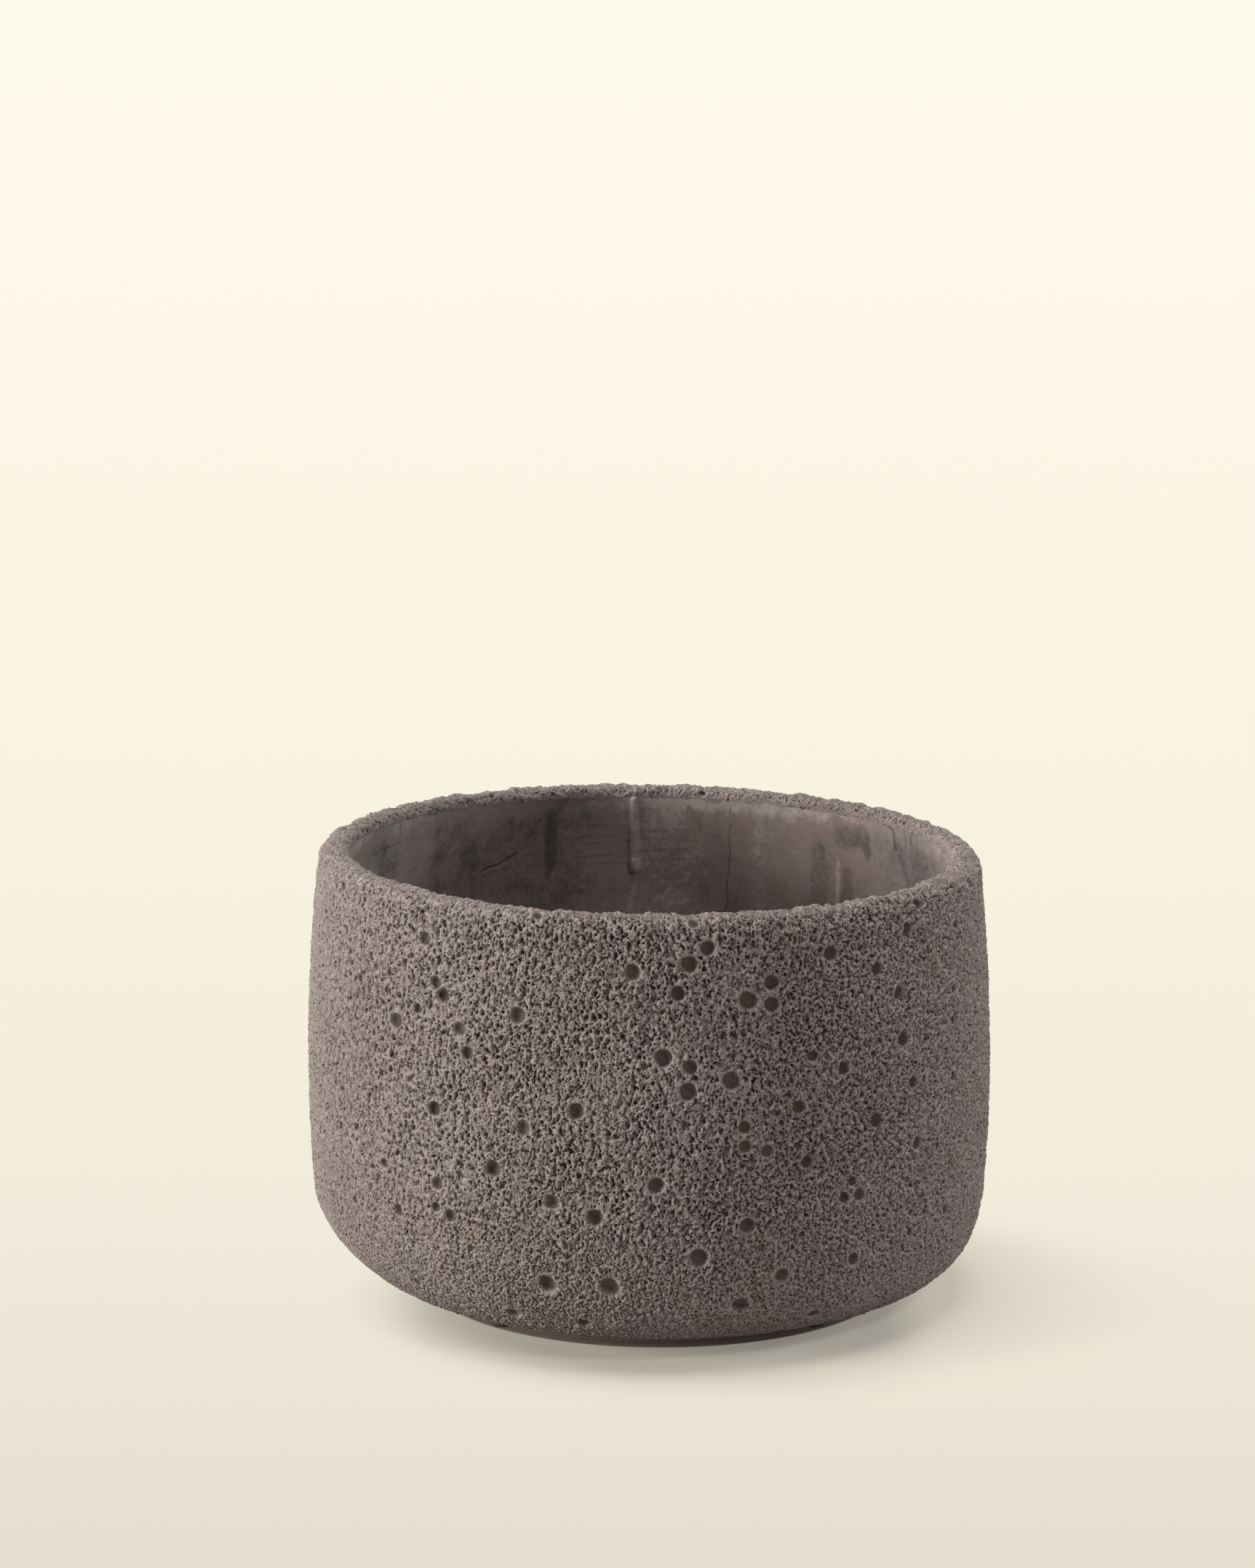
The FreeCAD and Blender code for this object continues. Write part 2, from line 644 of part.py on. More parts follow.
def check(doc, bodies):
    """Stops where an object failed or a piece isn't one valid solid."""
    for item in doc.Objects:
        if "Invalid" in item.State or "Error" in item.State:
            raise RuntimeError(f"{item.Label} failed: {item.State}")
        if item.TypeId == "Sketcher::SketchObject" and not item.FullyConstrained:
            raise RuntimeError(f"{item.Label} isn't fully constrained")
    for body in bodies:
        if body.Shape.isNull() or not body.Shape.isValid():
            raise RuntimeError(f"{body.Label} has no valid shape")
        if len(body.Shape.Solids) != 1:
            raise RuntimeError(f"{body.Label} isn't one solid")


def main():
    doc = FreeCAD.newDocument("planter")
    sheet = make_sheet(doc)
    form = PotForm(sheet)
    bodies = [
        make_pot_shell(doc, sheet, form),
        make_rough_coat(doc, sheet, form),
        make_drain_plug(doc, sheet),
    ]
    bodies += [make_foot_pad(doc, sheet, number) for number in range(1, PAD_COUNT + 1)]
    doc.recompute()
    check(doc, bodies)
    os.makedirs("parts", exist_ok=True)
    for body in bodies:
        body.Shape.exportStep(f"parts/{body.Label}.step")
        box = body.Shape.BoundBox
        print(f"{body.Label}: {body.Shape.Volume:.1f} mm3, z {box.ZMin:.3f} to {box.ZMax:.3f}")


main()
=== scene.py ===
"""Looks of the round planter: a pitted coat over a smooth fired clay shell.

Work inside this script is in millimetres. A mesh's points become metres where the mesh is made.
A surface of the pot has two measures: around, along the circle of MAX_RADIUS, and along, up its profile.
"""

import math

import bpy
import numpy as np
from mathutils import Matrix, Vector


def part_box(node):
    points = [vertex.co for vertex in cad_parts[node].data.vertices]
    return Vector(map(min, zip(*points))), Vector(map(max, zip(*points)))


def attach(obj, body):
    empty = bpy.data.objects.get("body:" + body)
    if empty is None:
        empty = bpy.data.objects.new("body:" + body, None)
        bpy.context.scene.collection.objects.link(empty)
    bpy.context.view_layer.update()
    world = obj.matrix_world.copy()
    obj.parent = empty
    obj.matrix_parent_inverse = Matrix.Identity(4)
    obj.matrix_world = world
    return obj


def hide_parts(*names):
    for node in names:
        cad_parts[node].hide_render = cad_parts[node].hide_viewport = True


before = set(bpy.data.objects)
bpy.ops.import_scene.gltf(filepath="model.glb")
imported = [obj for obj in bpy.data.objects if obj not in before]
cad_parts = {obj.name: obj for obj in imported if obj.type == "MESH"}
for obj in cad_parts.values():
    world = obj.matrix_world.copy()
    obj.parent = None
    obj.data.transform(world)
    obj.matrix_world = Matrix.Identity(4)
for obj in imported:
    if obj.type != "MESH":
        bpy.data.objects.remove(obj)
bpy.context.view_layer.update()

MM = 0.001

# The pot's section, as the solids have it
TOTAL_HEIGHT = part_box("rough_coat")[1][2] / MM
MAX_RADIUS = 144.5
WIDEST_HEIGHT = 98
BULGE_RADIUS = 750
CORNER_RADIUS = 45
FOOT_EDGE = (105.5, 6.0)
RIM_OUTER_ROUND = 7
RIM_INNER_ROUND = 3
COAT = 4
WALL = 12
FOOT_HEIGHT = 2
FOOT_RADIUS = 98.5
RECESS_RADIUS = 84
RECESS_HEIGHT = 5
FLOOR_HEIGHT = 17
INNER_CORNER_RADIUS = 36
DRAIN_RADIUS = 10
DRAIN_CHAMFER = 1.5

AROUND = 2 * math.pi * MAX_RADIUS
BULGE_CENTRE = (MAX_RADIUS - BULGE_RADIUS, WIDEST_HEIGHT)

# The photograph's frame and camera
PHOTO_SIZE = (1725, 2156)
FOCAL_PIXELS = 7400
SENSOR = 36
CAMERA_DISTANCE = 2300
MM_PER_PIXEL = CAMERA_DISTANCE / FOCAL_PIXELS
CAMERA_ELEVATION = math.radians(14.3)
BODY_MIDDLE = (-3, 0, 95)
BODY_MIDDLE_PIXEL = (893, 1464)

# Lean of the hand-made pot: its body stands a little left of its foot, and its rim drops to the right
BODY_SHIFT = -3
FOOT_SHIFT = 1.5
SHIFT_HEIGHTS = (8, 46)
SHIFT_RADII = (25, 75)
RIM_DROP = 0.014
DROP_FROM = 30
UNLEAN_ROUNDS = 3

# Steps at which profiles and rays are searched for a place, and the rays' first and last distance
SEARCH_STEP = 0.5
RAY_STEP = 0.25
RAY_SPAN = (CAMERA_DISTANCE - 260, CAMERA_DISTANCE + 320)

# Spacing of the meshes' points, on the shaped faces and on the hidden sides
COAT_STEP = 0.3
INSIDE_STEP = 0.6
COAT_BACK_STEP = 4
UNDER_STEP = 3

# Corners of a mesh's face as rows and columns on, and the margin of its unwrapping
FACE_CORNERS = ((0, 0), (0, 1), (1, 1), (1, 0))
UV_MARGIN = 0.004

# Craters that the photograph shows in the coat: place and radius in its pixels
PHOTO_CRATERS = [
    (497, 1140, 4), (1262, 1243, 8), (739, 1259, 6), (953, 1270, 6), (1314, 1271, 6), (1248, 1279, 9),
    (584, 1290, 8), (973, 1304, 9), (1128, 1306, 4), (1142, 1311, 9), (948, 1326, 10), (1206, 1332, 9),
    (870, 1337, 10), (495, 1344, 5), (599, 1351, 8), (1061, 1352, 9), (1311, 1359, 6), (932, 1366, 9),
    (1236, 1366, 9), (609, 1368, 9), (1028, 1376, 11), (1061, 1381, 9), (574, 1386, 6),
    (712, 1396, 10), (544, 1402, 9), (1311, 1402, 6), (632, 1415, 8), (472, 1421, 4), (1243, 1428, 9),
    (1325, 1440, 4), (642, 1449, 8), (1118, 1452, 7), (912, 1454, 11), (949, 1468, 9), (1160, 1469, 8),
    (1311, 1479, 6), (1005, 1486, 11), (462, 1487, 5), (1257, 1487, 8), (946, 1502, 11),
    (469, 1518, 4), (1098, 1522, 8), (597, 1524, 9), (792, 1529, 10), (1206, 1540, 9), (719, 1551, 9),
    (1024, 1551, 8), (1261, 1571, 8), (1024, 1577, 8), (1055, 1582, 8), (1110, 1597, 8),
    (528, 1598, 6), (677, 1608, 10), (1172, 1624, 6), (601, 1627, 8), (902, 1630, 10), (1182, 1643, 8),
    (1268, 1643, 4), (1161, 1646, 7), (488, 1649, 5), (759, 1653, 9), (599, 1660, 6), (547, 1664, 8),
    (1299, 1664, 6), (1270, 1665, 4), (1253, 1667, 5), (619, 1672, 8), (818, 1674, 10),
    (1028, 1685, 9), (1251, 1694, 5), (961, 1730, 11), (1174, 1731, 8), (1075, 1754, 9),
    (574, 1762, 6), (752, 1765, 11), (838, 1771, 12), (1018, 1795, 11), (647, 1799, 5), (666, 1805, 5),
    (706, 1805, 9), (1119, 1806, 8), (803, 1819, 8),
]

# Craters among them whose bottom is ochre
OCHRE_CRATERS = [
    (948, 1326), (1028, 1376), (1118, 1452), (1160, 1469), (1098, 1522), (1024, 1551), (1024, 1577),
]

# Craters of the far side, as in the solid: how many, and the first and the span of their turns and heights
BACK_CRATER_COUNT = 44
BACK_TURNS = (12, 156)
BACK_HEIGHTS = (0.1, 0.83)
SCATTER_STEPS = (0.7549, 0.5698)
BACK_RADII = (2.9, 3.3, 3.8)
BACK_OCHRE_EVERY = 7
SOLID_CRATER_DEPTH = 0.6 * COAT

# Smaller craters of the far side, which the solid lacks: how many, radius, and place in half turns
SMALL_CRATER_COUNT = 30
SMALL_RADIUS = (1.4, 2.3)
SMALL_TURNS = (0.06, 0.94)

# Crater forms: radius for the visible disc's, ranges of depth for the radius, and of the ring's strength
MOUTH_PER_DISC = 1.2
DEEPEST_CRATER = 2.9
FRONT_DEPTH, FRONT_RING = (0.6, 0.95), (0.2, 0.9)
BACK_DEPTH, BACK_RING = (0.6, 0.85), (0.5, 1)
SMALL_DEPTH, SMALL_RING = (0.5, 0.9), (0.5, 1)
NOTCH_DEPTH, NOTCH_RING = 2.0, 0.3

# Where a crater's smooth ring, mouth, painted shade inside and ochre fade out, in radii
RING_FADE = (0.9, 1.45)
MOUTH_FADE = (0.8, 1.05)
INSIDE_FADE = (0.3, 1.05)
OCHRE_FADE = (0.35, 0.9)
RING_SMOOTHING = 0.92
CRATER_WOBBLE = ((0.1, 4.5, 4.5, 900),)

# Notches that the photograph shows in the rim's far side: place and radius in its pixels
RIM_NOTCHES = [
    (498, 1140, 5), (677, 1092, 4), (711, 1087, 5), (770, 1092, 3), (961, 1090, 5), (1027, 1088, 5),
    (1126, 1099, 4), (1239, 1128, 5), (1263, 1127, 6),
]

# Layers of smooth noise: amount in mm or share, cell around, cell along and seed
WARP_AROUND = ((0.4, 5, 5, 21), (0.2, 1.8, 1.8, 22))
WARP_ALONG = ((0.4, 5, 5, 23), (0.2, 1.8, 1.8, 24))
PATCHES = ((0.5, 60, 60, 11),)
STRANDS = ((1.0, 1.5, 3.3, 31), (0.7, 0.85, 1.4, 32), (0.5, 6.0, 14.0, 33))
LUMPS = ((0.32, 2.8, 4.0, 34), (0.2, 1.4, 1.9, 35), (0.13, 0.8, 0.95, 36))
BROAD_LUMPS = ((0.22, 5.0, 6.5, 39),)
RIM_LUMPS = ((0.5, 3.4, 3.0, 38),)
CALM_PATCHES = ((0.45, 16, 24, 37),)
SWELLS = ((0.3, 14, 16, 61),)
RIM_SWELLS = ((1.0, 12, 9, 71), (0.6, 5, 5, 72))
SMEAR = ((3, 12, 30, 66), (1.5, 3, 20, 67))
INSIDE_SWELLS = ((0.25, 70, 45, 61),)
THROWING_LINES = ((0.05, 60, 2.2, 62), (0.05, 6, 5, 63))

# Layers of pits: spacing, seed, ranges of radius and depth, share of the places that have one, longest
# stretch, and the flat share of the radius. Without that last one they are round bowls.
WIDE_PITS = (4.0, 41, (0.8, 1.6), (0.5, 1.5), 0.8, 1.8)
MIDDLING_PITS = (2.0, 42, (0.42, 0.85), (0.6, 1.7), 0.62, 2.0, 0.5)
CLOSE_PITS = (1.5, 43, (0.38, 0.7), (1.0, 2.3), 0.85, 1.8, 0.5)
PIN_PITS = (1.2, 44, (0.3, 0.45), (0.5, 1.1), 0.6, 1.3, 0.3)
PORES = (2.0, 45, (0.4, 0.75), (0.8, 1.6), 0.8, 1.3, 0.3)

# Turn of the side at the photograph's left where the coat's gaps are longest, in degrees
LEFT_TURN = -130

# Where the coat's low part fades out, and how far from the end of a profile its last parts begin
LOW_FADE = (30, 95)
RIM_SPAN = (15, 6)
RIM_SWELL_SPAN = (26, 16)
LIP_SPAN = (3.0, 0.4)
HOLLOW_END_SPAN = (2.5, 0.5)
INSIDE_END_SPAN = (8, 2)

# Limits of the coat's relief, and the reach and depth that measure a hollow for the painted shade and
# painted highlight in its colours
COAT_LOWEST, COAT_HIGHEST = -3.4, 1.2
HOLLOW_REACH, HOLLOW_DEPTH = 1.6, 0.8

# Uneven ends of the coat: how far it hangs down inside the rim and over the foot's bevel
LIP_DROP = (0.0, 1.1)
FOOT_OVERHANG = (1.2, 4.2)

# Marks on the smooth inside: darkness, rise in mm, softness, and the line's pixels and widths.
# A mark of negative darkness is light.
INSIDE_MARKS = [
    # Slip run with its bead, and the faint run below it
    (-0.2, 1.3, 0.5, [(871, 1099, 9), (872, 1120, 12), (871, 1150, 16), (871, 1178, 17), (872, 1192, 18)]),
    (0, 0.9, 0.5, [(871, 1187, 16), (872, 1192, 18)]),
    (-0.15, 0.45, 0.6, [(873, 1204, 7), (868, 1234, 10), (860, 1262, 11)]),
    # Stain and scratch to the left of it
    (0.42, 0, 0.9, [(776, 1102, 14), (760, 1118, 18), (757, 1141, 19), (756, 1188, 18), (753, 1204, 10)]),
    (0.3, 0.15, 0.6, [(746, 1123, 2), (719, 1159, 2)]),
    # Crack with its raised lower lip: painted shade in the crack, and painted highlight on the lip
    (0.5, -0.35, 0.5, [(660, 1198, 2), (671, 1193, 3), (684, 1190, 3), (695, 1182, 3), (709, 1173, 4)]),
    (-0.2, 0.3, 0.6, [(662, 1201, 2), (674, 1197, 2), (690, 1192, 2), (704, 1182, 2)]),
    # Streaks at the left
    (0.25, 0, 0.6, [(515, 1173, 4), (530, 1166, 4), (548, 1158, 4), (559, 1152, 3)]),
    (0.15, 0, 1, [(601, 1145, 18), (600, 1232, 26)]),
    (0.12, 0, 1, [(652, 1155, 16), (650, 1235, 18)]),
    # Broad darker areas at the left, which are painted shade, and at the right, and a lighter one in the
    # middle
    (0.38, 0, 1, [(625, 1120, 150), (640, 1240, 180)]),
    (0.44, 0, 1, [(745, 1105, 150), (755, 1245, 160)]),
    (0.45, 0, 1, [(1235, 1130, 160), (1260, 1200, 180)]),
    (0.5, 0, 1, [(520, 1160, 80), (530, 1200, 80)]),
    (-0.25, 0, 1, [(925, 1110, 130), (925, 1250, 140)]),
    # Small stain at the far left
    (0.25, 0, 0.6, [(551, 1126, 7), (550, 1150, 6)]),
    # Smudge, curved line and seam behind the middle
    (0.5, 0, 0.8, [(973, 1098, 13), (988, 1100, 12)]),
    (0.4, 0, 0.7, [(946, 1109, 6), (958, 1125, 8), (965, 1143, 5)]),
    (0.5, -0.25, 0.5, [(1004, 1106, 1.8), (1004, 1150, 1.8), (1001, 1190, 1.8), (997, 1258, 1.8)]),
    (0.25, 0, 1, [(985, 1158, 30), (1000, 1200, 50), (1005, 1258, 60)]),
    (0.3, 0, 0.8, [(968, 1215, 18), (970, 1240, 22)]),
    (-0.2, 0, 1, [(1040, 1125, 24), (1045, 1250, 30)]),
    # Patches and runs at the right
    (
        0.5, 0, 0.45,
        [(1150, 1128, 18), (1160, 1152, 40), (1185, 1150, 34), (1192, 1170, 16), (1192, 1183, 10)],
    ),
    (0.4, 0, 0.7, [(1125, 1170, 26), (1128, 1210, 38), (1122, 1258, 36)]),
    (0.4, 0, 0.5, [(1165, 1200, 18), (1166, 1225, 24), (1160, 1242, 18)]),
    (-0.4, 0, 0.8, [(1152, 1180, 8), (1151, 1248, 8)]),
    (0.5, 0.2, 0.4, [(1221, 1135, 5), (1229, 1142, 6), (1230, 1160, 6), (1231, 1168, 7)]),
    (0.4, 0.1, 0.4, [(1252, 1141, 4), (1252, 1160, 5)]),
    (-0.5, 0.25, 0.6, [(1050, 1258, 2), (1062, 1249, 2), (1073, 1243, 2)]),
    # Lines that throwing on the wheel left
    (0.25, 0.1, 0.6, [(790, 1151, 2), (955, 1139, 2)]),
    (0.25, 0.1, 0.6, [(800, 1160, 2), (950, 1150, 2)]),
    (0.3, 0.1, 0.6, [(790, 1178, 3), (955, 1166, 2)]),
    (0.25, 0.1, 0.6, [(805, 1189, 2), (950, 1180, 2)]),
    (0.2, 0.1, 0.6, [(770, 1137, 2), (860, 1133, 2)]),
]

# Marks on the near side of the inside, which the photograph doesn't show: how many, and wall scale
HIDDEN_MARK_COUNT = 16
HIDDEN_MARK_SCALE = 0.9

# Lamps: name, direction that they stand in, strength on a surface that faces them, width in degrees, colour
LAMPS = [
    ("above", (0.0, 0.05, 1.0), 0.64, 40, (1.0, 0.99, 0.98)),
    ("left", (-0.95, -0.22, 0.16), 1.07, 24, (1.0, 0.985, 0.97)),
    ("front", (0.55, -0.65, 0.75), 0.17, 10, (0.95, 0.98, 1.0)),
    ("right", (0.85, 0.33, 0.25), 0.28, 12, (0.95, 0.98, 1.0)),
]
WORLD_STRENGTH = 0.06
WORLD_COLOUR = (1.0, 0.985, 0.96)


def soft_step(low, high, value):
    share = np.clip((value - low) / (high - low), 0.0, 1.0)
    return share * share * (3.0 - 2.0 * share)


def fall(low, high, value):
    return 1 - soft_step(low, high, value)


def end_step(length, span, along):
    """Soft step over a span of places along, given by how far they are from the end."""
    return soft_step(length - span[0], length - span[1], along)


def lattice(around, along, cell_around, cell_along, margin):
    """Counts of cells around and along, with a margin before the first, cell numbers, and places in them."""
    count = max(3, round(AROUND / cell_around))
    x = around / AROUND * count
    y = along / cell_along
    i = np.floor(x).astype(np.int32)
    j = np.floor(y).astype(np.int32)
    first = int(j.min()) - margin
    rows = int(j.max()) - first + 2
    return count, rows, i, j - first, (x - i).astype(np.float32), (y - j).astype(np.float32)


def noise(around, along, cell_around, cell_along, seed):
    """Smooth random values from about -1 to 1 that join up around the pot."""
    count, rows, i, j, fx, fy = lattice(around, along, cell_around, cell_along, 0)
    angle = np.random.default_rng(seed).uniform(0, 2 * math.pi, (rows, count)).astype(np.float32)
    slope_x, slope_y = np.cos(angle), np.sin(angle)
    ux, uy = (f * f * f * (f * (f * 6 - 15) + 10) for f in (fx, fy))

    def corner(next_i, next_j):
        cell = (j + next_j, (i + next_i) % count)
        return slope_x[cell] * (fx - next_i) + slope_y[cell] * (fy - next_j)

    low = corner(0, 0) * (1 - ux) + corner(1, 0) * ux
    high = corner(0, 1) * (1 - ux) + corner(1, 1) * ux
    return 1.5 * (low * (1 - uy) + high * uy)


def layered(around, along, layers, start=0):
    """Sum of noise layers at each place, added to start."""
    return sum((amount * noise(around, along, *layer) for amount, *layer in layers), start)


def pits(around, along, spacing, seed, radius, depth, share, stretch, wall=None):
    """Deepest of the scattered hollows at each place, one or none to a cell.

    A hollow with a wall is flat inside that share of its radius. One without is a round bowl.
    """
    count, rows, i, j, fx, fy = lattice(around, along, spacing, spacing, 1)
    rng = np.random.default_rng(seed)

    def draw(low, high):
        return rng.uniform(low, high, (rows, count)).astype(np.float32)

    place_x, place_y = draw(0.0, 1.0), draw(0.0, 1.0)
    size, deep = draw(*radius), draw(*depth)
    deep *= rng.random((rows, count)) < share
    tilt, long = draw(-0.5, 0.5), draw(1.0, stretch)
    cell = AROUND / count
    out = np.zeros(around.shape, np.float32)
    for down in (-1, 0, 1):
        for side in (-1, 0, 1):
            spot = (j + down, (i + side) % count)
            dx = (place_x[spot] + side - fx) * cell
            dy = (place_y[spot] + down - fy) * spacing
            lean_by = tilt[spot]
            across = dx + dy * lean_by
            up = (dy - dx * lean_by) / long[spot]
            square = (across * across + up * up) / (1 + lean_by * lean_by) / size[spot] ** 2
            if wall is None:
                cut = np.clip(1 - square, 0, 1)
            else:
                cut = fall(wall, 1.0, np.sqrt(square))
            out = np.maximum(out, deep[spot] * cut)
    return out


def blurred(field, reach):
    """Field averaged over about reach points each way. Columns join up around the pot."""
    count = int(math.ceil(2.5 * reach))
    weights = [math.exp(-0.5 * (k / reach) ** 2) for k in range(-count, count + 1)]
    total = sum(weights)
    across = sum(w / total * np.roll(field, k, 1) for k, w in enumerate(weights, -count))
    padded = np.pad(across, ((count, count), (0, 0)), mode="edge")
    return sum(w / total * padded[k : k + len(field)] for k, w in enumerate(weights))


class Profile:
    """A line through points and arcs of the pot's section, walked at even steps."""

    def __init__(self, radius, height):
        self.pieces = []
        self.here = (radius, height)

    def line(self, radius, height):
        (r0, z0), (r1, z1) = self.here, (radius, height)
        length = math.hypot(r1 - r0, z1 - z0)
        normal = ((z1 - z0) / length, -(r1 - r0) / length)

        def at(share):
            return (r0 + (r1 - r0) * share, z0 + (z1 - z0) * share, normal[0], normal[1])

        self.pieces.append((length, at))
        self.here = (radius, height)

    def arc(self, centre, radius, height):
        """An arc from here to a point, the short way. Its normal points to the walk's right."""
        r0, z0 = self.here
        size = math.hypot(r0 - centre[0], z0 - centre[1])
        first = math.atan2(z0 - centre[1], r0 - centre[0])
        last = math.atan2(height - centre[1], radius - centre[0])
        turn = (last - first + math.pi) % (2 * math.pi) - math.pi
        outward = 1.0 if turn > 0 else -1.0

        def at(share):
            angle = first + turn * share
            c, s = math.cos(angle), math.sin(angle)
            return (centre[0] + size * c, centre[1] + size * s, outward * c, outward * s)

        self.pieces.append((size * abs(turn), at))
        self.here = (radius, height)

    def walk(self, step):
        """Rows of radius, height, normal's two parts and distance along, the last point left out."""
        rows = []
        travelled = 0.0
        for length, at in self.pieces:
            count = max(1, round(length / step))
            for k in range(count):
                rows.append((*at(k / count), travelled + length * k / count))
            travelled += length
        return np.array(rows), travelled


def bulge_point(height, inset=0.0):
    """Point of the bulge at a height, moved in by inset."""
    reach = BULGE_RADIUS - inset
    return (BULGE_CENTRE[0] + math.sqrt(reach**2 - (height - WIDEST_HEIGHT) ** 2), height)


def toward(start, end, distance):
    """Point at a distance from start on the way to end."""
    across = (end[0] - start[0], end[1] - start[1])
    share = distance / math.hypot(*across)
    return (start[0] + across[0] * share, start[1] + across[1] * share)


def touch(centre, inset=0.0):
    """Point where the bulge, moved in by inset, touches a circle around centre."""
    return toward(BULGE_CENTRE, centre, BULGE_RADIUS - inset)


def corner_centre():
    """The corner's circle touches the bulge from inside and passes through the foot's edge."""
    across = (FOOT_EDGE[0] - BULGE_CENTRE[0], FOOT_EDGE[1] - BULGE_CENTRE[1])
    length = math.hypot(*across)
    reach = BULGE_RADIUS - CORNER_RADIUS
    along = (reach**2 - CORNER_RADIUS**2 + length**2) / (2 * length)
    aside = math.sqrt(reach**2 - along**2)
    unit = (across[0] / length, across[1] / length)
    return (
        BULGE_CENTRE[0] + unit[0] * along - unit[1] * aside,
        BULGE_CENTRE[1] + unit[1] * along + unit[0] * aside,
    )


CORNER_CENTRE = corner_centre()
COAT_END = toward(FOOT_EDGE, CORNER_CENTRE, COAT)
SHELL_TOP = TOTAL_HEIGHT - COAT
RIM_INNER_RADIUS = bulge_point(SHELL_TOP, WALL)[0]


def outer_profile():
    """The coat's face, from the foot's edge up and over the rim to the smooth inside."""
    round_centre = bulge_point(TOTAL_HEIGHT - RIM_OUTER_ROUND, RIM_OUTER_ROUND)
    lip_centre = (RIM_INNER_RADIUS + RIM_INNER_ROUND, TOTAL_HEIGHT - RIM_INNER_ROUND)
    path = Profile(*FOOT_EDGE)
    path.arc(CORNER_CENTRE, *touch(CORNER_CENTRE))
    path.arc(BULGE_CENTRE, *touch(round_centre))
    path.arc(round_centre, round_centre[0], TOTAL_HEIGHT)
    path.line(lip_centre[0], TOTAL_HEIGHT)
    path.arc(lip_centre, RIM_INNER_RADIUS, lip_centre[1])
    path.line(RIM_INNER_RADIUS, SHELL_TOP + 0.04)
    path.line(RIM_INNER_RADIUS, SHELL_TOP)
    return path


def back_profile():
    """The coat's hidden side, against the shell, from the smooth inside back to the foot's edge."""
    path = Profile(RIM_INNER_RADIUS, SHELL_TOP)
    path.line(*bulge_point(SHELL_TOP, COAT))
    path.arc(BULGE_CENTRE, *touch(CORNER_CENTRE, COAT))
    path.arc(CORNER_CENTRE, *COAT_END)
    path.line(*FOOT_EDGE)
    return path


def lean(points):
    """Moves points as the hand-made pot leans. The drain hole and its surroundings stay."""
    x, y, z = points[..., 0], points[..., 1], points[..., 2]
    radius = np.hypot(x, y)
    high = soft_step(*SHIFT_HEIGHTS, z)
    shift = (FOOT_SHIFT + (BODY_SHIFT - FOOT_SHIFT) * high) * soft_step(*SHIFT_RADII, radius)
    drop = RIM_DROP * x * soft_step(DROP_FROM, TOTAL_HEIGHT, z)
    return np.stack([x + shift, y, z - drop], axis=-1)


def unlean(points):
    """Takes leaned points near the wall back to the even pot."""
    out = points
    for _ in range(UNLEAN_ROUNDS):
        out = out + points - lean(out)
    return out


def camera_axes():
    """Camera's place, and its directions right, up and ahead."""
    behind = CAMERA_DISTANCE * math.cos(CAMERA_ELEVATION)
    above = CAMERA_DISTANCE * math.sin(CAMERA_ELEVATION)
    place = np.array([BODY_MIDDLE[0], -behind, BODY_MIDDLE[2] + above])
    right_of_middle = BODY_MIDDLE_PIXEL[0] - PHOTO_SIZE[0] / 2
    below_middle = BODY_MIDDLE_PIXEL[1] - PHOTO_SIZE[1] / 2
    pitch = CAMERA_ELEVATION - math.atan2(below_middle, FOCAL_PIXELS)
    yaw = math.atan2(right_of_middle, FOCAL_PIXELS)
    turn = Matrix.Rotation(yaw, 3, "Z") @ Matrix.Rotation(math.pi / 2 - pitch, 3, "X")
    right, up, back = (np.array(turn.col[k]) for k in range(3))
    return place, right, up, -back, turn


def seen_places(pixels, path, where):
    """Places around and along a lathe surface that photograph pixels show, and the wall's scale there.

    where is outside for the near wall, inside for the far wall's inside, or rim for the far rim.
    """
    rows, _ = path.walk(SEARCH_STEP)
    order = np.argsort(rows[:, 1])
    place, right, up, ahead, _ = camera_axes()
    reach = np.arange(*RAY_SPAN, RAY_STEP)
    places = []
    for u, v, _ in pixels:
        across, down = u - PHOTO_SIZE[0] / 2, v - PHOTO_SIZE[1] / 2
        ray = ahead * FOCAL_PIXELS + right * across - up * down
        points = unlean(place + reach[:, None] * ray / np.linalg.norm(ray))
        radius, height = np.hypot(points[:, 0], points[:, 1]), points[:, 2]
        wall = np.interp(height, rows[order, 1], rows[order, 0])
        met = height < TOTAL_HEIGHT
        met &= radius < wall if where == "outside" else points[:, 1] > 0
        if where == "inside":
            met &= radius > wall
        first = int(np.argmax(met))
        nearest = int(np.argmin((rows[:, 0] - radius[first]) ** 2 + (rows[:, 1] - height[first]) ** 2))
        around = math.atan2(points[first, 1], points[first, 0]) * MAX_RADIUS
        places.append((around, rows[nearest, 4], rows[nearest, 0] / MAX_RADIUS))
    return places


def new_object(name, data):
    """Scene object of a mesh, lamp or camera."""
    item = bpy.data.objects.new(name, data)
    bpy.context.scene.collection.objects.link(item)
    return item


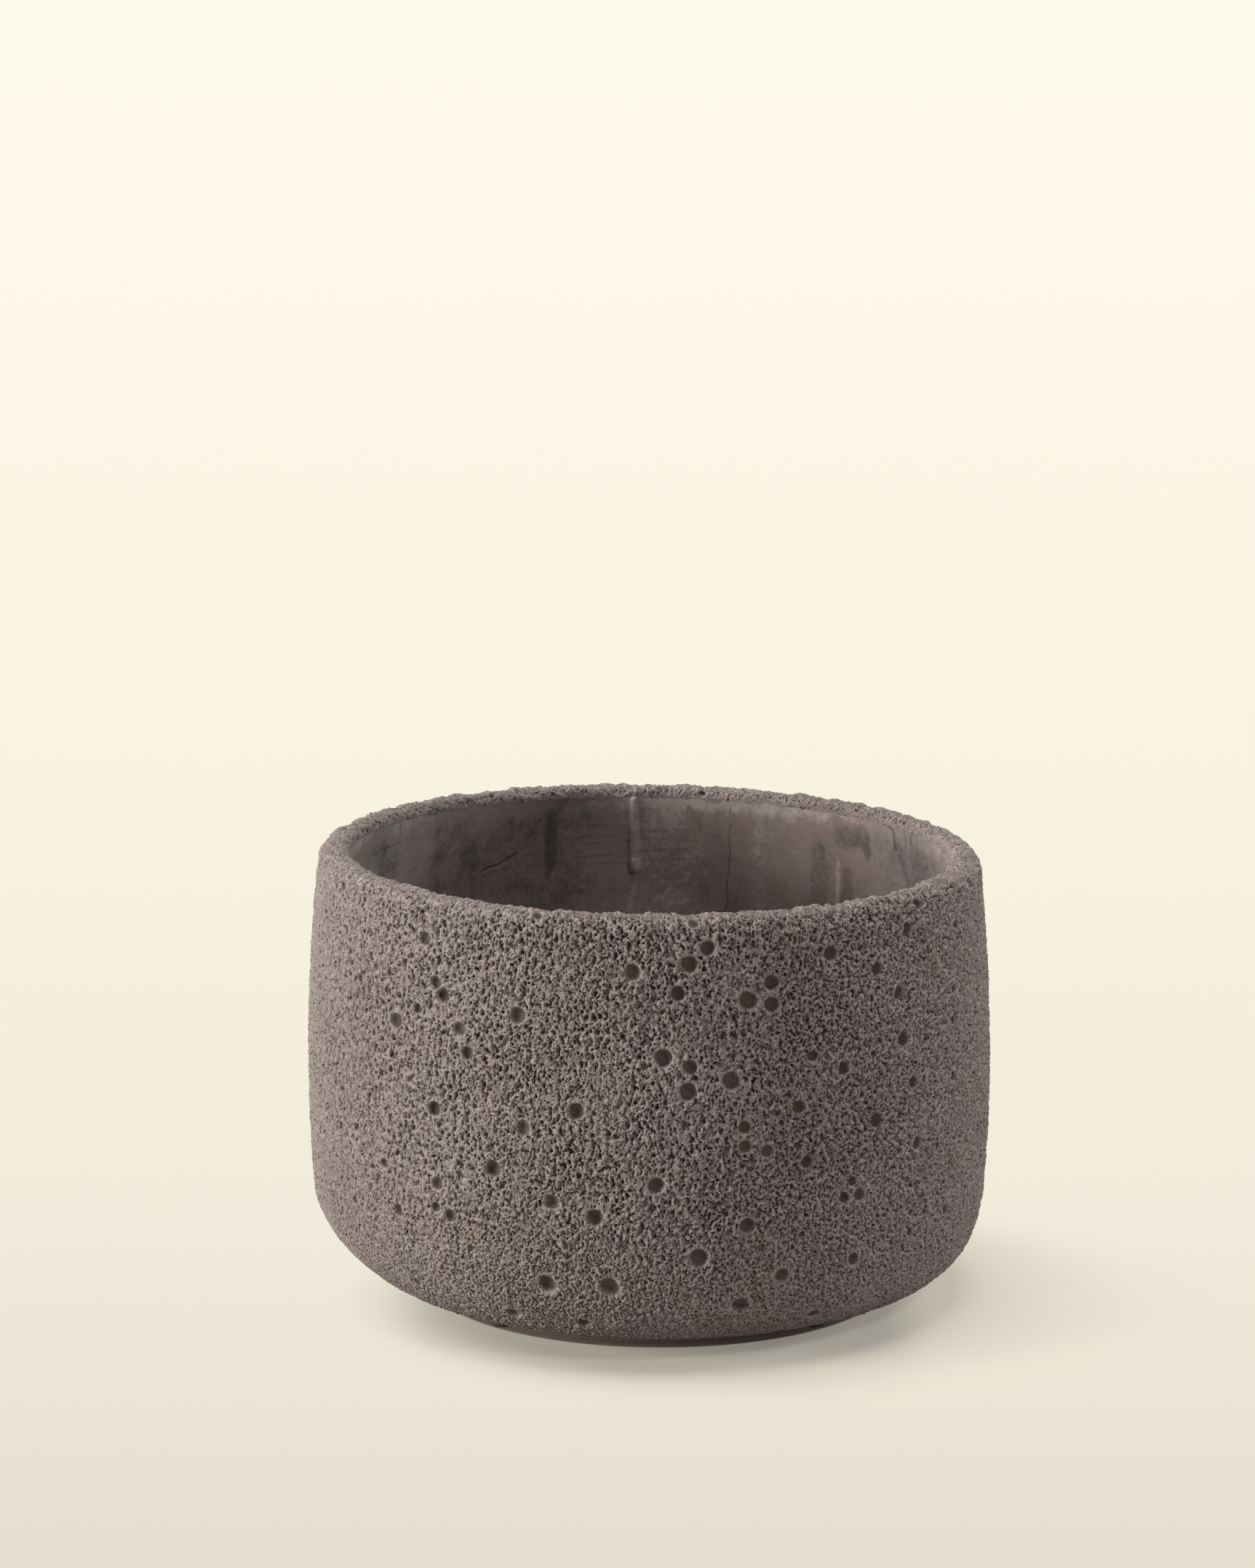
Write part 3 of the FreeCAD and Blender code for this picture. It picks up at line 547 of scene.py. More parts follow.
def lathe_piece(name, points):
    """Mesh object of a grid of points whose rows and columns both join up, with its unwrapping."""
    rows, columns = points.shape[:2]
    count = rows * columns
    mesh = bpy.data.meshes.new(name)
    mesh.vertices.add(count)
    mesh.vertices.foreach_set("co", (points * MM).astype(np.float32).ravel())
    row, column = np.meshgrid(np.arange(rows), np.arange(columns), indexing="ij")
    corners = [(row + down) % rows * columns + (column + right) % columns for down, right in FACE_CORNERS]
    mesh.loops.add(count * 4)
    mesh.loops.foreach_set("vertex_index", np.stack(corners, axis=-1).astype(np.int32).ravel())
    mesh.polygons.add(count)
    mesh.polygons.foreach_set("loop_start", np.arange(0, count * 4, 4, dtype=np.int32))
    mesh.update(calc_edges=True)
    mesh.polygons.foreach_set("use_smooth", np.full(count, True))
    unwrap_lathe(mesh, row, column)
    return new_object(name, mesh)


def unwrap_lathe(mesh, row, column):
    """Lays the grid out as two strips, each half of the way around."""
    rows, columns = row.shape
    half = columns // 2
    upper = column >= half
    width = np.where(upper, columns - half, half)
    start = np.where(upper, half, 0)
    span_u = 1 - 2 * UV_MARGIN
    span_v = 0.5 - 2 * UV_MARGIN
    uv = np.empty((rows, columns, 4, 2), np.float32)
    for corner, (down, right) in enumerate(FACE_CORNERS):
        uv[:, :, corner, 0] = UV_MARGIN + span_u * (column - start + right) / width
        uv[:, :, corner, 1] = UV_MARGIN + upper * 0.5 + span_v * (row + down) / rows
    mesh.uv_layers.new(name="OFBake").data.foreach_set("uv", uv.ravel())


def add_attribute(piece, name, face, hidden=0.0):
    """Gives a closed piece's shaped face its values, and its hidden side a single one."""
    columns = face.shape[1]
    hidden_rows = len(piece.data.vertices) // columns - len(face)
    values = np.vstack([face, np.full((hidden_rows, columns), hidden)])
    layer = piece.data.attributes.new(name, "FLOAT", "POINT")
    layer.data.foreach_set("value", values.astype(np.float32).ravel())


def crater_list(length):
    """Craters as around, along, radius, depth, ring strength, wall scale and share of ochre.

    They are those of the photograph, and others like them behind.
    """
    rng = np.random.default_rng(7)
    path = outer_profile()
    craters = []
    found = seen_places(PHOTO_CRATERS, path, "outside")
    for (around, along, scale), (u, v, size) in zip(found, PHOTO_CRATERS):
        radius = MOUTH_PER_DISC * size * MM_PER_PIXEL
        ochre = 1.0 if (u, v) in OCHRE_CRATERS else 0.0
        depth = radius * rng.uniform(*FRONT_DEPTH)
        craters.append((around, along, radius, depth, rng.uniform(*FRONT_RING), scale, ochre))
    found = seen_places(RIM_NOTCHES, path, "rim")
    for (around, along, scale), (_, _, size) in zip(found, RIM_NOTCHES):
        radius = MOUTH_PER_DISC * size * MM_PER_PIXEL
        craters.append((around, along, radius, NOTCH_DEPTH, NOTCH_RING, scale, 0.0))
    craters += back_craters(path, rng)
    add_small_craters(craters, length, rng)
    return craters


def back_craters(path, rng):
    """Craters of the far side, at the places where the coat's solid has them."""
    rows, _ = path.walk(SEARCH_STEP)
    craters = []
    for number in range(1, BACK_CRATER_COUNT + 1):
        spans = zip((BACK_TURNS, BACK_HEIGHTS), SCATTER_STEPS)
        turn, share = (first + span * (number * step % 1) for (first, span), step in spans)
        around = math.radians(turn) * MAX_RADIUS
        height = FOOT_HEIGHT + share * (TOTAL_HEIGHT - FOOT_HEIGHT)
        radius = BACK_RADII[number % len(BACK_RADII)]
        ball_height = rows[:, 1] + rows[:, 3] * (radius - SOLID_CRATER_DEPTH)
        along = rows[int(np.argmin(np.abs(ball_height - height))), 4]
        depth = radius * rng.uniform(*BACK_DEPTH)
        ochre = float(number % BACK_OCHRE_EVERY == 0)
        craters.append((around, along, radius, depth, rng.uniform(*BACK_RING), 1.0, ochre))
    return craters


def add_small_craters(craters, length, rng):
    """Adds small craters to the far side, clear of the others."""
    wanted = len(craters) + SMALL_CRATER_COUNT
    while len(craters) < wanted:
        around = rng.uniform(*SMALL_TURNS) * math.pi * MAX_RADIUS
        along = rng.uniform(4, length - 14)
        radius = rng.uniform(*SMALL_RADIUS)
        clear = all(math.hypot(around - a, along - s) > (radius + r) * 1.05 for a, s, r, *_ in craters)
        if clear:
            depth = radius * rng.uniform(*SMALL_DEPTH)
            craters.append((around, along, radius, depth, rng.uniform(*SMALL_RING), 1.0, 0.0))


def window_of(around, along, grid_around, grid_along, reach, scale):
    """Rows and columns of a grid within reach of a place, with how far off they are in mm."""
    step = AROUND / grid_around.shape[1]
    rows = np.nonzero(np.abs(grid_along[:, 0] - along) < reach)[0]
    span = int(math.ceil(reach / scale / step)) + 1
    middle = int(round((around % AROUND) / step))
    columns = np.arange(middle - span, middle + span + 1)
    off_around = (columns * step - (around % AROUND)) * scale
    off_along = grid_along[rows, 0] - along
    window = np.ix_(rows, columns % grid_around.shape[1])
    return window, *np.meshgrid(off_around, off_along)


def stamp_craters(around, along, height, craters):
    """Cuts the craters into the height field, smooths the coat around each, and tells where they are."""
    inside = np.zeros_like(height)
    tint = np.zeros_like(height)
    for index, (a, s, radius, depth, ring_share, scale, ochre) in enumerate(craters):
        window, off_a, off_s = window_of(a, s, around, along, radius * 2, scale)
        if off_a.size == 0:
            continue
        d = np.hypot(off_a, off_s) / radius + layered(40.0 * index + off_a, off_s, CRATER_WOBBLE)
        old = height[window]
        ring = np.maximum(fall(*RING_FADE, d) * ring_share, fall(*MOUTH_FADE, d))
        plain = np.mean(old) + 0.4 - 0.6 * ring**2
        ground = old * (1 - RING_SMOOTHING * ring) + plain * RING_SMOOTHING * ring
        bowl = np.clip(1 - d**2, 0, 1) ** 0.75
        height[window] = ground - min(depth, DEEPEST_CRATER) * bowl
        inside[window] = np.maximum(inside[window], fall(*INSIDE_FADE, d))
        tint[window] = np.maximum(tint[window], ochre * fall(*OCHRE_FADE, d))
    return height, inside, tint


def left_share(around, patch=0):
    """From 1 at the photograph's left to 0 at its right and behind, uneven by the values of patch."""
    return soft_step(-0.2, 0.8, np.cos(around / MAX_RADIUS - math.radians(LEFT_TURN)) + patch)


def coat_relief(around, along, length):
    """Height of the coat's face over its even skin, before the craters.

    It is a foam of lumps with bubbles of many sizes. Its gaps run together at the photograph's left, its
    bubbles are closest at the right, and it is plainer low down and on the rim. A number before such a
    share says how much comes or goes there.
    """
    patch = layered(around, along, PATCHES)
    low = fall(*LOW_FADE, along + 14 * patch)
    rim = end_step(length, RIM_SPAN, along)
    calm = (1 - 0.6 * low) * (1 - 0.7 * rim)
    joined = left_share(around, patch) * calm * (1 - 0.6 * low)
    right = (1 - left_share(around)) * (1 - rim)
    calm *= 1 + 0.4 * right
    calm *= 0.8 + layered(around, along, CALM_PATCHES)

    a = layered(around, along, WARP_AROUND, around)
    s = layered(around, along, WARP_ALONG, along)
    gaps = fall(-0.8, -0.4, layered(a, s, STRANDS))
    lumps = layered(a, s, LUMPS)
    lumps += rim * (layered(a, s, RIM_LUMPS) + 0.4 * lumps)
    lumps = (lumps + layered(a, s, BROAD_LUMPS)) * (1 + 0.4 * right)
    height = lumps * (1 - 0.3 * low)
    height -= pits(a, s, *WIDE_PITS) * (0.35 + 0.6 * joined) * calm
    height -= pits(a, s, *MIDDLING_PITS) * calm * (0.65 + 0.35 * joined) + 0.7 * gaps * joined
    height -= (
        pits(a, s, *CLOSE_PITS) * (1 - 0.8 * joined) * calm
        + pits(a, s, *PIN_PITS) * (1 - 0.5 * rim)
        + pits(a, s, *PORES) * low
    )
    height += layered(around, along, SWELLS) + 0.35
    return height + end_step(length, RIM_SWELL_SPAN, along) * (layered(around, along, RIM_SWELLS) - 0.1)


def ragged(around, low, high, seed):
    """Uneven reach of the coat's edge over the clay at each place around, from low to high mm."""
    waves = ((0.6, 9, 9, seed), (0.4, 3, 3, seed + 1), (0.12, 1.3, 1.3, seed + 2))
    wave = layered(around, np.zeros_like(around), waves)
    return low + (high - low) * soft_step(-0.7, 0.7, wave)


def lathe_grid(path, step):
    """A profile's rows, its length, the turns of a grid's columns, and the places of its points."""
    rows, length = path.walk(step)
    columns = round(AROUND / step / 2) * 2
    angle = np.arange(columns) / columns * 2 * math.pi
    around, along = np.meshgrid(angle * MAX_RADIUS, rows[:, 4])
    return rows, length, angle, around.astype(np.float32), along.astype(np.float32)


def pushed_out(rows, height):
    """Radius and level of a profile's rows, moved by height along their normals."""
    return [rows[:, k, None] + height * rows[:, k + 2, None] for k in (0, 1)]


def turned_piece(name, angle, face, hidden):
    """Closed mesh object of a shaped face and a hidden side, each given as radius and level."""
    radius, level = (
        np.vstack([shown, np.broadcast_to(plain, (len(plain), len(angle)))])
        for shown, plain in zip(face, hidden)
    )
    points = np.stack([radius * np.cos(angle), radius * np.sin(angle), level], axis=-1)
    return lathe_piece(name, lean(points))


def painted_relief_shade(around, along, height, inside, length):
    """From -1 deep in the coat to 1 on its peaks, for the painted shade in its hollows and the painted
    highlight on its peaks. Clearer at the photograph's right.
    """
    hollow = np.clip((height - blurred(height, HOLLOW_REACH / COAT_STEP)) / HOLLOW_DEPTH, -1, 1)
    rim = end_step(length, RIM_SPAN, along)
    front = fall(-0.1, 0.35, np.sin(around / MAX_RADIUS))
    clearer = 1 + 0.7 * (1 - left_share(around)) * front * (1 - rim)
    hollow *= clearer * (1 - 0.4 * rim) * (1 - 0.45 * inside)
    hollow *= 1 - end_step(length, HOLLOW_END_SPAN, along)
    return hollow


def make_coat():
    """The rough coat as one closed mesh: a finely shaped face and a plain back."""
    face, length, angle, around, along = lathe_grid(outer_profile(), COAT_STEP)
    back, _ = back_profile().walk(COAT_BACK_STEP)
    height = coat_relief(around, along, length)
    height, inside, tint = stamp_craters(around, along, height, crater_list(length))
    hollow = painted_relief_shade(around, along, height, inside, length)

    toe = fall(0, 2.5, along)
    lip = end_step(length, LIP_SPAN, along)
    height = np.clip(height, COAT_LOWEST, COAT_HIGHEST) - 0.8 * fall(2, 16, along)
    height = height * (1 - toe) * (1 - lip) + 0.05 * lip
    radius, level = pushed_out(face, height)
    drop = ragged(around, *LIP_DROP, 81)
    level -= drop * lip
    bevel = (FOOT_EDGE[0] - FOOT_RADIUS, FOOT_EDGE[1] - FOOT_HEIGHT)
    overhang = ragged(around, *FOOT_OVERHANG, 85) * fall(0, 4.5, along) / math.hypot(*bevel)
    radius -= bevel[0] * overhang
    level -= bevel[1] * overhang + 0.2 * toe

    back_level = np.repeat(back[:, 1, None], len(angle), 1)
    back_level[0] -= drop[-1]
    piece = turned_piece("rough_coat_skin", angle, (radius, level), (back[:, 0, None], back_level))
    # hollow and crater carry the painted shade and highlight for the coat's colours; ochre is the craters'
    # own tint
    for name, values in (("hollow", hollow), ("crater", inside), ("ochre", tint)):
        add_attribute(piece, name, values)
    return piece


def inside_profile():
    """The shell's smooth inside, from the rim down the wall and over the floor to the drain hole."""
    centre_height = FLOOR_HEIGHT + INNER_CORNER_RADIUS
    centre = bulge_point(centre_height, WALL + INNER_CORNER_RADIUS)
    path = Profile(RIM_INNER_RADIUS, SHELL_TOP)
    path.arc(BULGE_CENTRE, *touch(centre, WALL))
    path.arc(centre, centre[0], FLOOR_HEIGHT)
    path.line(DRAIN_RADIUS + DRAIN_CHAMFER, FLOOR_HEIGHT)
    return path


def under_profile():
    """The rest of the shell: drain hole, recess, foot, and the hidden side under the coat."""
    near = 0.4
    path = Profile(DRAIN_RADIUS + DRAIN_CHAMFER, FLOOR_HEIGHT)
    for place in (
        (DRAIN_RADIUS, FLOOR_HEIGHT - DRAIN_CHAMFER),
        (DRAIN_RADIUS, RECESS_HEIGHT + near),
        (DRAIN_RADIUS + near, RECESS_HEIGHT),
        (RECESS_RADIUS - 2, RECESS_HEIGHT),
        (RECESS_RADIUS, RECESS_HEIGHT - near),
        (RECESS_RADIUS, FOOT_HEIGHT + near),
        (RECESS_RADIUS + near, FOOT_HEIGHT),
        (FOOT_RADIUS - 1.2, FOOT_HEIGHT),
        (FOOT_RADIUS - near, FOOT_HEIGHT + 0.05),
        (FOOT_RADIUS + near, FOOT_HEIGHT + 0.4),
        FOOT_EDGE,
        COAT_END,
    ):
        path.line(*place)
    path.arc(CORNER_CENTRE, *touch(CORNER_CENTRE, COAT))
    path.arc(BULGE_CENTRE, *bulge_point(SHELL_TOP, COAT))
    path.line(RIM_INNER_RADIUS, SHELL_TOP)
    return path


def nearness(off_around, off_along, line):
    """Distance to a line of places, each with its half width, as a share of the half width there."""
    best = np.full(off_around.shape, 9.0)
    for (a0, s0, w0), (a1, s1, w1) in zip(line, line[1:]):
        da, ds = a1 - a0, s1 - s0
        share = ((off_around - a0) * da + (off_along - s0) * ds) / max(da * da + ds * ds, 1e-9)
        share = np.clip(share, 0, 1)
        reach = np.hypot(off_around - a0 - share * da, off_along - s0 - share * ds)
        best = np.minimum(best, reach / (w0 + (w1 - w0) * share))
    return best


def hidden_marks(length):
    """Runs and stains on the near side of the inside, as lines in mm."""
    rng = np.random.default_rng(17)
    marks = []
    for _ in range(HIDDEN_MARK_COUNT):
        around = rng.uniform(-0.97, -0.03) * math.pi * MAX_RADIUS
        start = rng.uniform(2, 20)
        end = start + rng.uniform(12, 70)
        width = rng.uniform(1.0, 7.0)
        drift = rng.uniform(-5, 5)
        dark = rng.uniform(-0.2, 0.5)
        rise = rng.uniform(0.1, 0.5) if width < 3 else 0.0
        middle = (around + drift, (start + end) / 2, width * 1.2)
        line = [(around, start, width), middle, (around + drift, end, width)]
        marks.append((dark, rise, rng.uniform(0.4, 1.0), line, HIDDEN_MARK_SCALE))
    return marks


def photo_marks():
    """Marks on the inside that the photograph shows, as lines in mm."""
    marks = []
    for dark, rise, softness, pixels in INSIDE_MARKS:
        places = seen_places(pixels, inside_profile(), "inside")
        line = [
            (around, along, width * MM_PER_PIXEL / 2)
            for (around, along, _), (_, _, width) in zip(places, pixels)
        ]
        marks.append((dark, rise, softness, line, places[0][2]))
    return marks


def draw_marks(around, along, marks):
    """Rise and darkness that the marks give the inside."""
    rise = np.zeros_like(around)
    stain_and_shade = np.zeros_like(around)
    for dark, high, softness, line, scale in marks:
        a0, s0, _ = line[0]
        local = [((a - a0) * scale, s - s0, w) for a, s, w in line]
        reach = 4 + max(math.hypot(a, s) + 2 * w for a, s, w in local)
        window, off_a, off_s = window_of(a0, s0, around, along, reach, scale)
        waver = 0.5 * noise(around[window], along[window], 4, 6, 95)
        d = nearness(off_a + waver, off_s, local)
        rise[window] += high * np.sqrt(np.clip(1 - d**2, 0, 1))
        stain_and_shade[window] += dark * fall(1 - 0.8 * softness, 1 + 0.5 * softness, d)
    return rise, stain_and_shade


def make_shell():
    """The fired clay shell as one closed mesh, with its slip runs, stains, seam and painted shade inside."""
    inner, length, angle, around, along = lathe_grid(inside_profile(), INSIDE_STEP)
    under, _ = under_profile().walk(UNDER_STEP)
    rise, stain_and_shade = draw_marks(around, along, photo_marks() + hidden_marks(length))
    stain_and_shade -= 0.4 * fall(2, 10, layered(around, along, SMEAR, along))
    wall = fall(110, 150, along)
    height = rise * wall + layered(around, along, INSIDE_SWELLS) * soft_step(0, 12, along)
    height += layered(around, along, THROWING_LINES) * wall
    height *= 1 - end_step(length, INSIDE_END_SPAN, along)
    piece = turned_piece("clay_shell", angle, pushed_out(inner, height), pushed_out(under, 0))
    add_attribute(piece, "stain_and_shade", stain_and_shade)
    add_attribute(piece, "bare", np.zeros_like(stain_and_shade), hidden=1.0)
    return piece


class Nodes:
    """Short calls for the nodes of a material or of the world."""

    def __init__(self, owner):
        owner.use_nodes = True
        self.owner = owner
        self.tree = owner.node_tree

    def fill(self, node, inputs):
        """Gives inputs of a node a number, a colour or vector, or another node's output to follow."""
        for key, value in inputs.items():
            if isinstance(value, bpy.types.NodeSocket):
                self.tree.links.new(value, node.inputs[key])
            else:
                node.inputs[key].default_value = value
        return node

    def add(self, kind, inputs, **settings):
        node = self.tree.nodes.new(kind)
        for key, value in settings.items():
            setattr(node, key, value)
        return self.fill(node, inputs)

    def attribute(self, name):
        return self.add("ShaderNodeAttribute", {}, attribute_name=name).outputs["Fac"]

    def place(self):
        return self.add("ShaderNodeTexCoord", {}).outputs["Object"]

    def noise(self, vector, scale, detail, roughness, distortion=0.0):
        inputs = {"Vector": vector, "Scale": scale, "Detail": detail, "Roughness": roughness}
        return self.add("ShaderNodeTexNoise", {**inputs, "Distortion": distortion}).outputs["Fac"]

    def math(self, kind, *values):
        return self.add("ShaderNodeMath", dict(enumerate(values)), operation=kind).outputs[0]

    def ramp(self, value, low, high, to_low=0.0, to_high=1.0):
        inputs = {"Value": value, "From Min": low, "From Max": high, "To Min": to_low, "To Max": to_high}
        return self.add("ShaderNodeMapRange", inputs, interpolation_type="SMOOTHSTEP").outputs["Result"]

    def mix(self, share, first, second):
        first, second = ((*c, 1) if isinstance(c, tuple) else c for c in (first, second))
        return self.add("ShaderNodeMix", {0: share, 6: first, 7: second}, data_type="RGBA").outputs[2]

    def pores(self, vector, scale, from_share, widest, rim):
        """Small round holes in some cells, from 0 on the surface to 1 in a hole."""
        cells = self.add("ShaderNodeTexVoronoi", {"Vector": vector, "Scale": scale}).outputs
        chance = self.add("ShaderNodeSeparateColor", {0: cells["Color"]}).outputs[0]
        size = self.ramp(chance, from_share, 1.0, 0.0, widest)
        inner = self.math("DIVIDE", cells["Distance"], self.math("ADD", size, 0.001))
        return self.ramp(inner, rim, 1.0, 1.0, 0.0)

    def seen(self):
        """1 for rays that a surface is seen by, 0 for those that light travels by."""
        path = self.add("ShaderNodeLightPath", {}).outputs
        seen = self.math("MAXIMUM", path["Is Camera Ray"], path["Is Glossy Ray"])
        return self.math("MAXIMUM", seen, path["Is Transmission Ray"])

    def bump(self, height, strength, distance):
        inputs = {"Height": height, "Strength": strength, "Distance": distance}
        return self.add("ShaderNodeBump", inputs).outputs["Normal"]

    def surface(self, inputs):
        """The material, with inputs of its shader filled."""
        self.fill(self.tree.nodes["Principled BSDF"], inputs)
        return self.owner


def linear(*levels):
    """A colour as shaders take it, from the 0 to 255 values of a picture in sRGB."""
    shares = [level / 255 for level in levels]
    return tuple(c / 12.92 if c <= 0.04045 else ((c + 0.055) / 1.055) ** 2.4 for c in shares)


COAT_LAND = linear(151, 138, 133)
COAT_HIGH = linear(163, 150, 145)
# Painted highlight on the coat's peaks, where the relief stands above its surroundings
COAT_PEAK_HIGHLIGHT = linear(196, 183, 177)
# Dark colour of the coat's random grain, and painted shade in its hollows and craters
COAT_GRAIN_AND_SHADE = linear(80, 68, 61)
# Painted shade in the coat's small pin holes, which the bump also sinks
COAT_PORE_SHADE = linear(48, 40, 35)
COAT_OCHRE = linear(104, 91, 68)
COAT_TINT = linear(156, 138, 117)
CLAY = linear(145, 135, 130)
CLAY_WARM = linear(139, 123, 117)
# Colour of stains, and of painted shade at the inside's left, in its crack and in pinholes
CLAY_STAIN_AND_SHADE = linear(84, 80, 78)
# Lighter clay, also painted highlight on the crack's raised lip
CLAY_LIGHT = linear(188, 177, 169)
# Bare clay of the foot and underside, lightened beyond its own colour as painted fill light in the foot's
# shade
CLAY_BARE_AND_FILL_LIGHT = linear(160, 138, 126)
RUBBER = linear(38, 37, 36)
RUBBER_DUST = linear(70, 67, 63)
FELT = linear(58, 52, 47)
FELT_LIGHT = linear(98, 90, 82)

# The floor: side in metres, and its colours from FLOOR_NEAR_Y back. A share of a half is FLOOR_REACH behind.
FLOOR_SIDE = 60.0
FLOOR_NEAR_Y = -0.4
FLOOR_REACH = 1.5
FLOOR_STOPS = [
    (0.02, linear(228, 222, 206)),
    (0.24, linear(240, 234, 218)),
    (0.45, linear(247, 241, 223)),
    (0.68, linear(252, 246, 230)),
    (0.86, linear(254, 250, 235)),
]
FLOOR_BOUNCE = linear(191, 189, 185)

# Where the floor shows the lamps' shadow: middle and reach in metres, and its soft edge in reaches.
# Only a share of it shows outside of the foot, and less beside the pot.
SHADOW_MIDDLE = (0.052, -0.03)
SHADOW_REACH = (0.168, 0.14)
SHADOW_EDGE = (0.75, 1.15)
SHADOW_BESIDE = (0.09, 0.12)
BESIDE_SHARE = 0.7
OUTSIDE_SHARE = 0.75

# Painted shade under the foot, in dark brown: radii in metres where it ends, its share, and the weak painted
# glow that keeps it brown
UNDER_EDGE = (0.0977, 0.0993)
UNDER_SHARE = 0.7
UNDER_PAINTED_GLOW = 0.1
FLOOR_UNDER_SHADE = linear(112, 88, 78)


def new_material(name):
    return Nodes(bpy.data.materials.new(name))


def coat_material():
    nodes = new_material("rough_coat")
    place = nodes.place()
    hollow = nodes.attribute("hollow")
    crater = nodes.attribute("crater")
    taller = nodes.add("ShaderNodeMapping", {"Vector": place, "Scale": (1, 1, 0.75)}).outputs["Vector"]
    pore = nodes.math(
        "MAXIMUM", nodes.pores(taller, 620, 0.3, 0.34, 0.7), nodes.pores(taller, 1150, 0.3, 0.4, 0.7)
    )
    pore = nodes.math("MULTIPLY", pore, nodes.math("SUBTRACT", 1.0, crater))
    grain = nodes.noise(place, 900, 3, 0.6)
    tint = nodes.ramp(nodes.noise(place, 42, 4, 0.65), 0.56, 0.72, 0.0, 0.45)
    colour = nodes.mix(nodes.ramp(nodes.noise(place, 14, 3, 0.55), 0.35, 0.65), COAT_LAND, COAT_HIGH)
    for share, other in (
        (tint, COAT_TINT),
        # Painted highlight on the peaks of the relief
        (nodes.ramp(hollow, 0.1, 0.6, 0.0, 0.4), COAT_PEAK_HIGHLIGHT),
        (nodes.ramp(grain, 0.4, 0.68, 0.0, 0.36), COAT_GRAIN_AND_SHADE),
        # Painted shade in the hollows of the relief
        (nodes.ramp(hollow, -0.8, 0.0, 0.7, 0.0), COAT_GRAIN_AND_SHADE),
        # Painted shade inside the craters
        (nodes.math("MULTIPLY", crater, 0.42), COAT_GRAIN_AND_SHADE),
        (nodes.math("MULTIPLY", nodes.attribute("ochre"), 0.55), COAT_OCHRE),
        # Painted shade in the pin holes
        (nodes.math("MULTIPLY", pore, 0.85), COAT_PORE_SHADE),
    ):
        colour = nodes.mix(share, colour, other)
    rough = nodes.math("MULTIPLY", nodes.noise(place, 1100, 4, 0.65), 0.8)
    normal = nodes.bump(nodes.math("SUBTRACT", rough, pore), 0.8, 0.0007)
    inputs = {"Base Color": colour, "Roughness": 0.92, "Specular IOR Level": 0.1, "Normal": normal}
    return nodes.surface(inputs)


def clay_material():
    nodes = new_material("fired_clay")
    place = nodes.place()
    mottle = nodes.noise(place, 85, 5, 0.62, 0.6)
    speckle = nodes.noise(place, 420, 5, 0.7)
    pin = nodes.pores(place, 150, 0.75, 0.1, 0.6)
    patchy = nodes.math("ADD", nodes.attribute("stain_and_shade"), nodes.ramp(mottle, 0.35, 0.75, -0.1, 0.22))
    patchy = nodes.math("ADD", patchy, nodes.ramp(speckle, 0.35, 0.7, -0.08, 0.2))
    colour = nodes.mix(nodes.ramp(nodes.noise(place, 26, 4, 0.6), 0.4, 0.62), CLAY, CLAY_WARM)
    for share, other in (
        # Stains, with painted shade at the inside's left and in the crack
        (nodes.ramp(patchy, 0.0, 1.0), CLAY_STAIN_AND_SHADE),
        (nodes.ramp(patchy, -0.6, 0.0, 0.8, 0.0), CLAY_LIGHT),
        # Painted shade in the clay's pinholes
        (nodes.math("MULTIPLY", pin, 0.7), CLAY_STAIN_AND_SHADE),
        # Bare clay, lightened as painted fill light
        (nodes.math("MULTIPLY", nodes.attribute("bare"), 0.85), CLAY_BARE_AND_FILL_LIGHT),
    ):
        colour = nodes.mix(share, colour, other)
    normal = nodes.bump(nodes.math("SUBTRACT", nodes.noise(place, 700, 4, 0.6), pin), 0.35, 0.0003)
    inputs = {"Base Color": colour, "Roughness": 0.72, "Specular IOR Level": 0.12, "Normal": normal}
    return nodes.surface(inputs)


def rubber_material():
    nodes = new_material("plug_rubber")
    place = nodes.place()
    dust = nodes.ramp(nodes.noise(place, 180, 4, 0.6), 0.45, 0.75, 0.0, 0.6)
    normal = nodes.bump(nodes.noise(place, 1500, 3, 0.6), 0.3, 0.0001)
    colour = nodes.mix(dust, RUBBER, RUBBER_DUST)
    return nodes.surface({"Base Color": colour, "Roughness": 0.6, "Normal": normal})


def felt_material():
    nodes = new_material("felt")
    fibres = nodes.noise(nodes.place(), 1300, 5, 0.75, 1.2)
    colour = nodes.mix(nodes.ramp(fibres, 0.35, 0.7), FELT, FELT_LIGHT)
    normal = nodes.bump(fibres, 0.8, 0.0003)
    return nodes.surface({"Base Color": colour, "Roughness": 0.98, "Normal": normal})


def floor_colour(nodes, y):
    """The floor's own colour, which is darker the nearer it is."""
    behind = nodes.math("MAXIMUM", nodes.math("SUBTRACT", y, FLOOR_NEAR_Y), 0.0)
    share = nodes.math("DIVIDE", behind, nodes.math("ADD", behind, FLOOR_REACH))
    ramp = nodes.add("ShaderNodeValToRGB", {"Fac": share})
    stops = ramp.color_ramp.elements
    for position, colour in FLOOR_STOPS:
        stops.new(position).color = (*colour, 1)
    stops.remove(stops[0])
    stops.remove(stops[-1])
    return ramp.outputs["Color"]


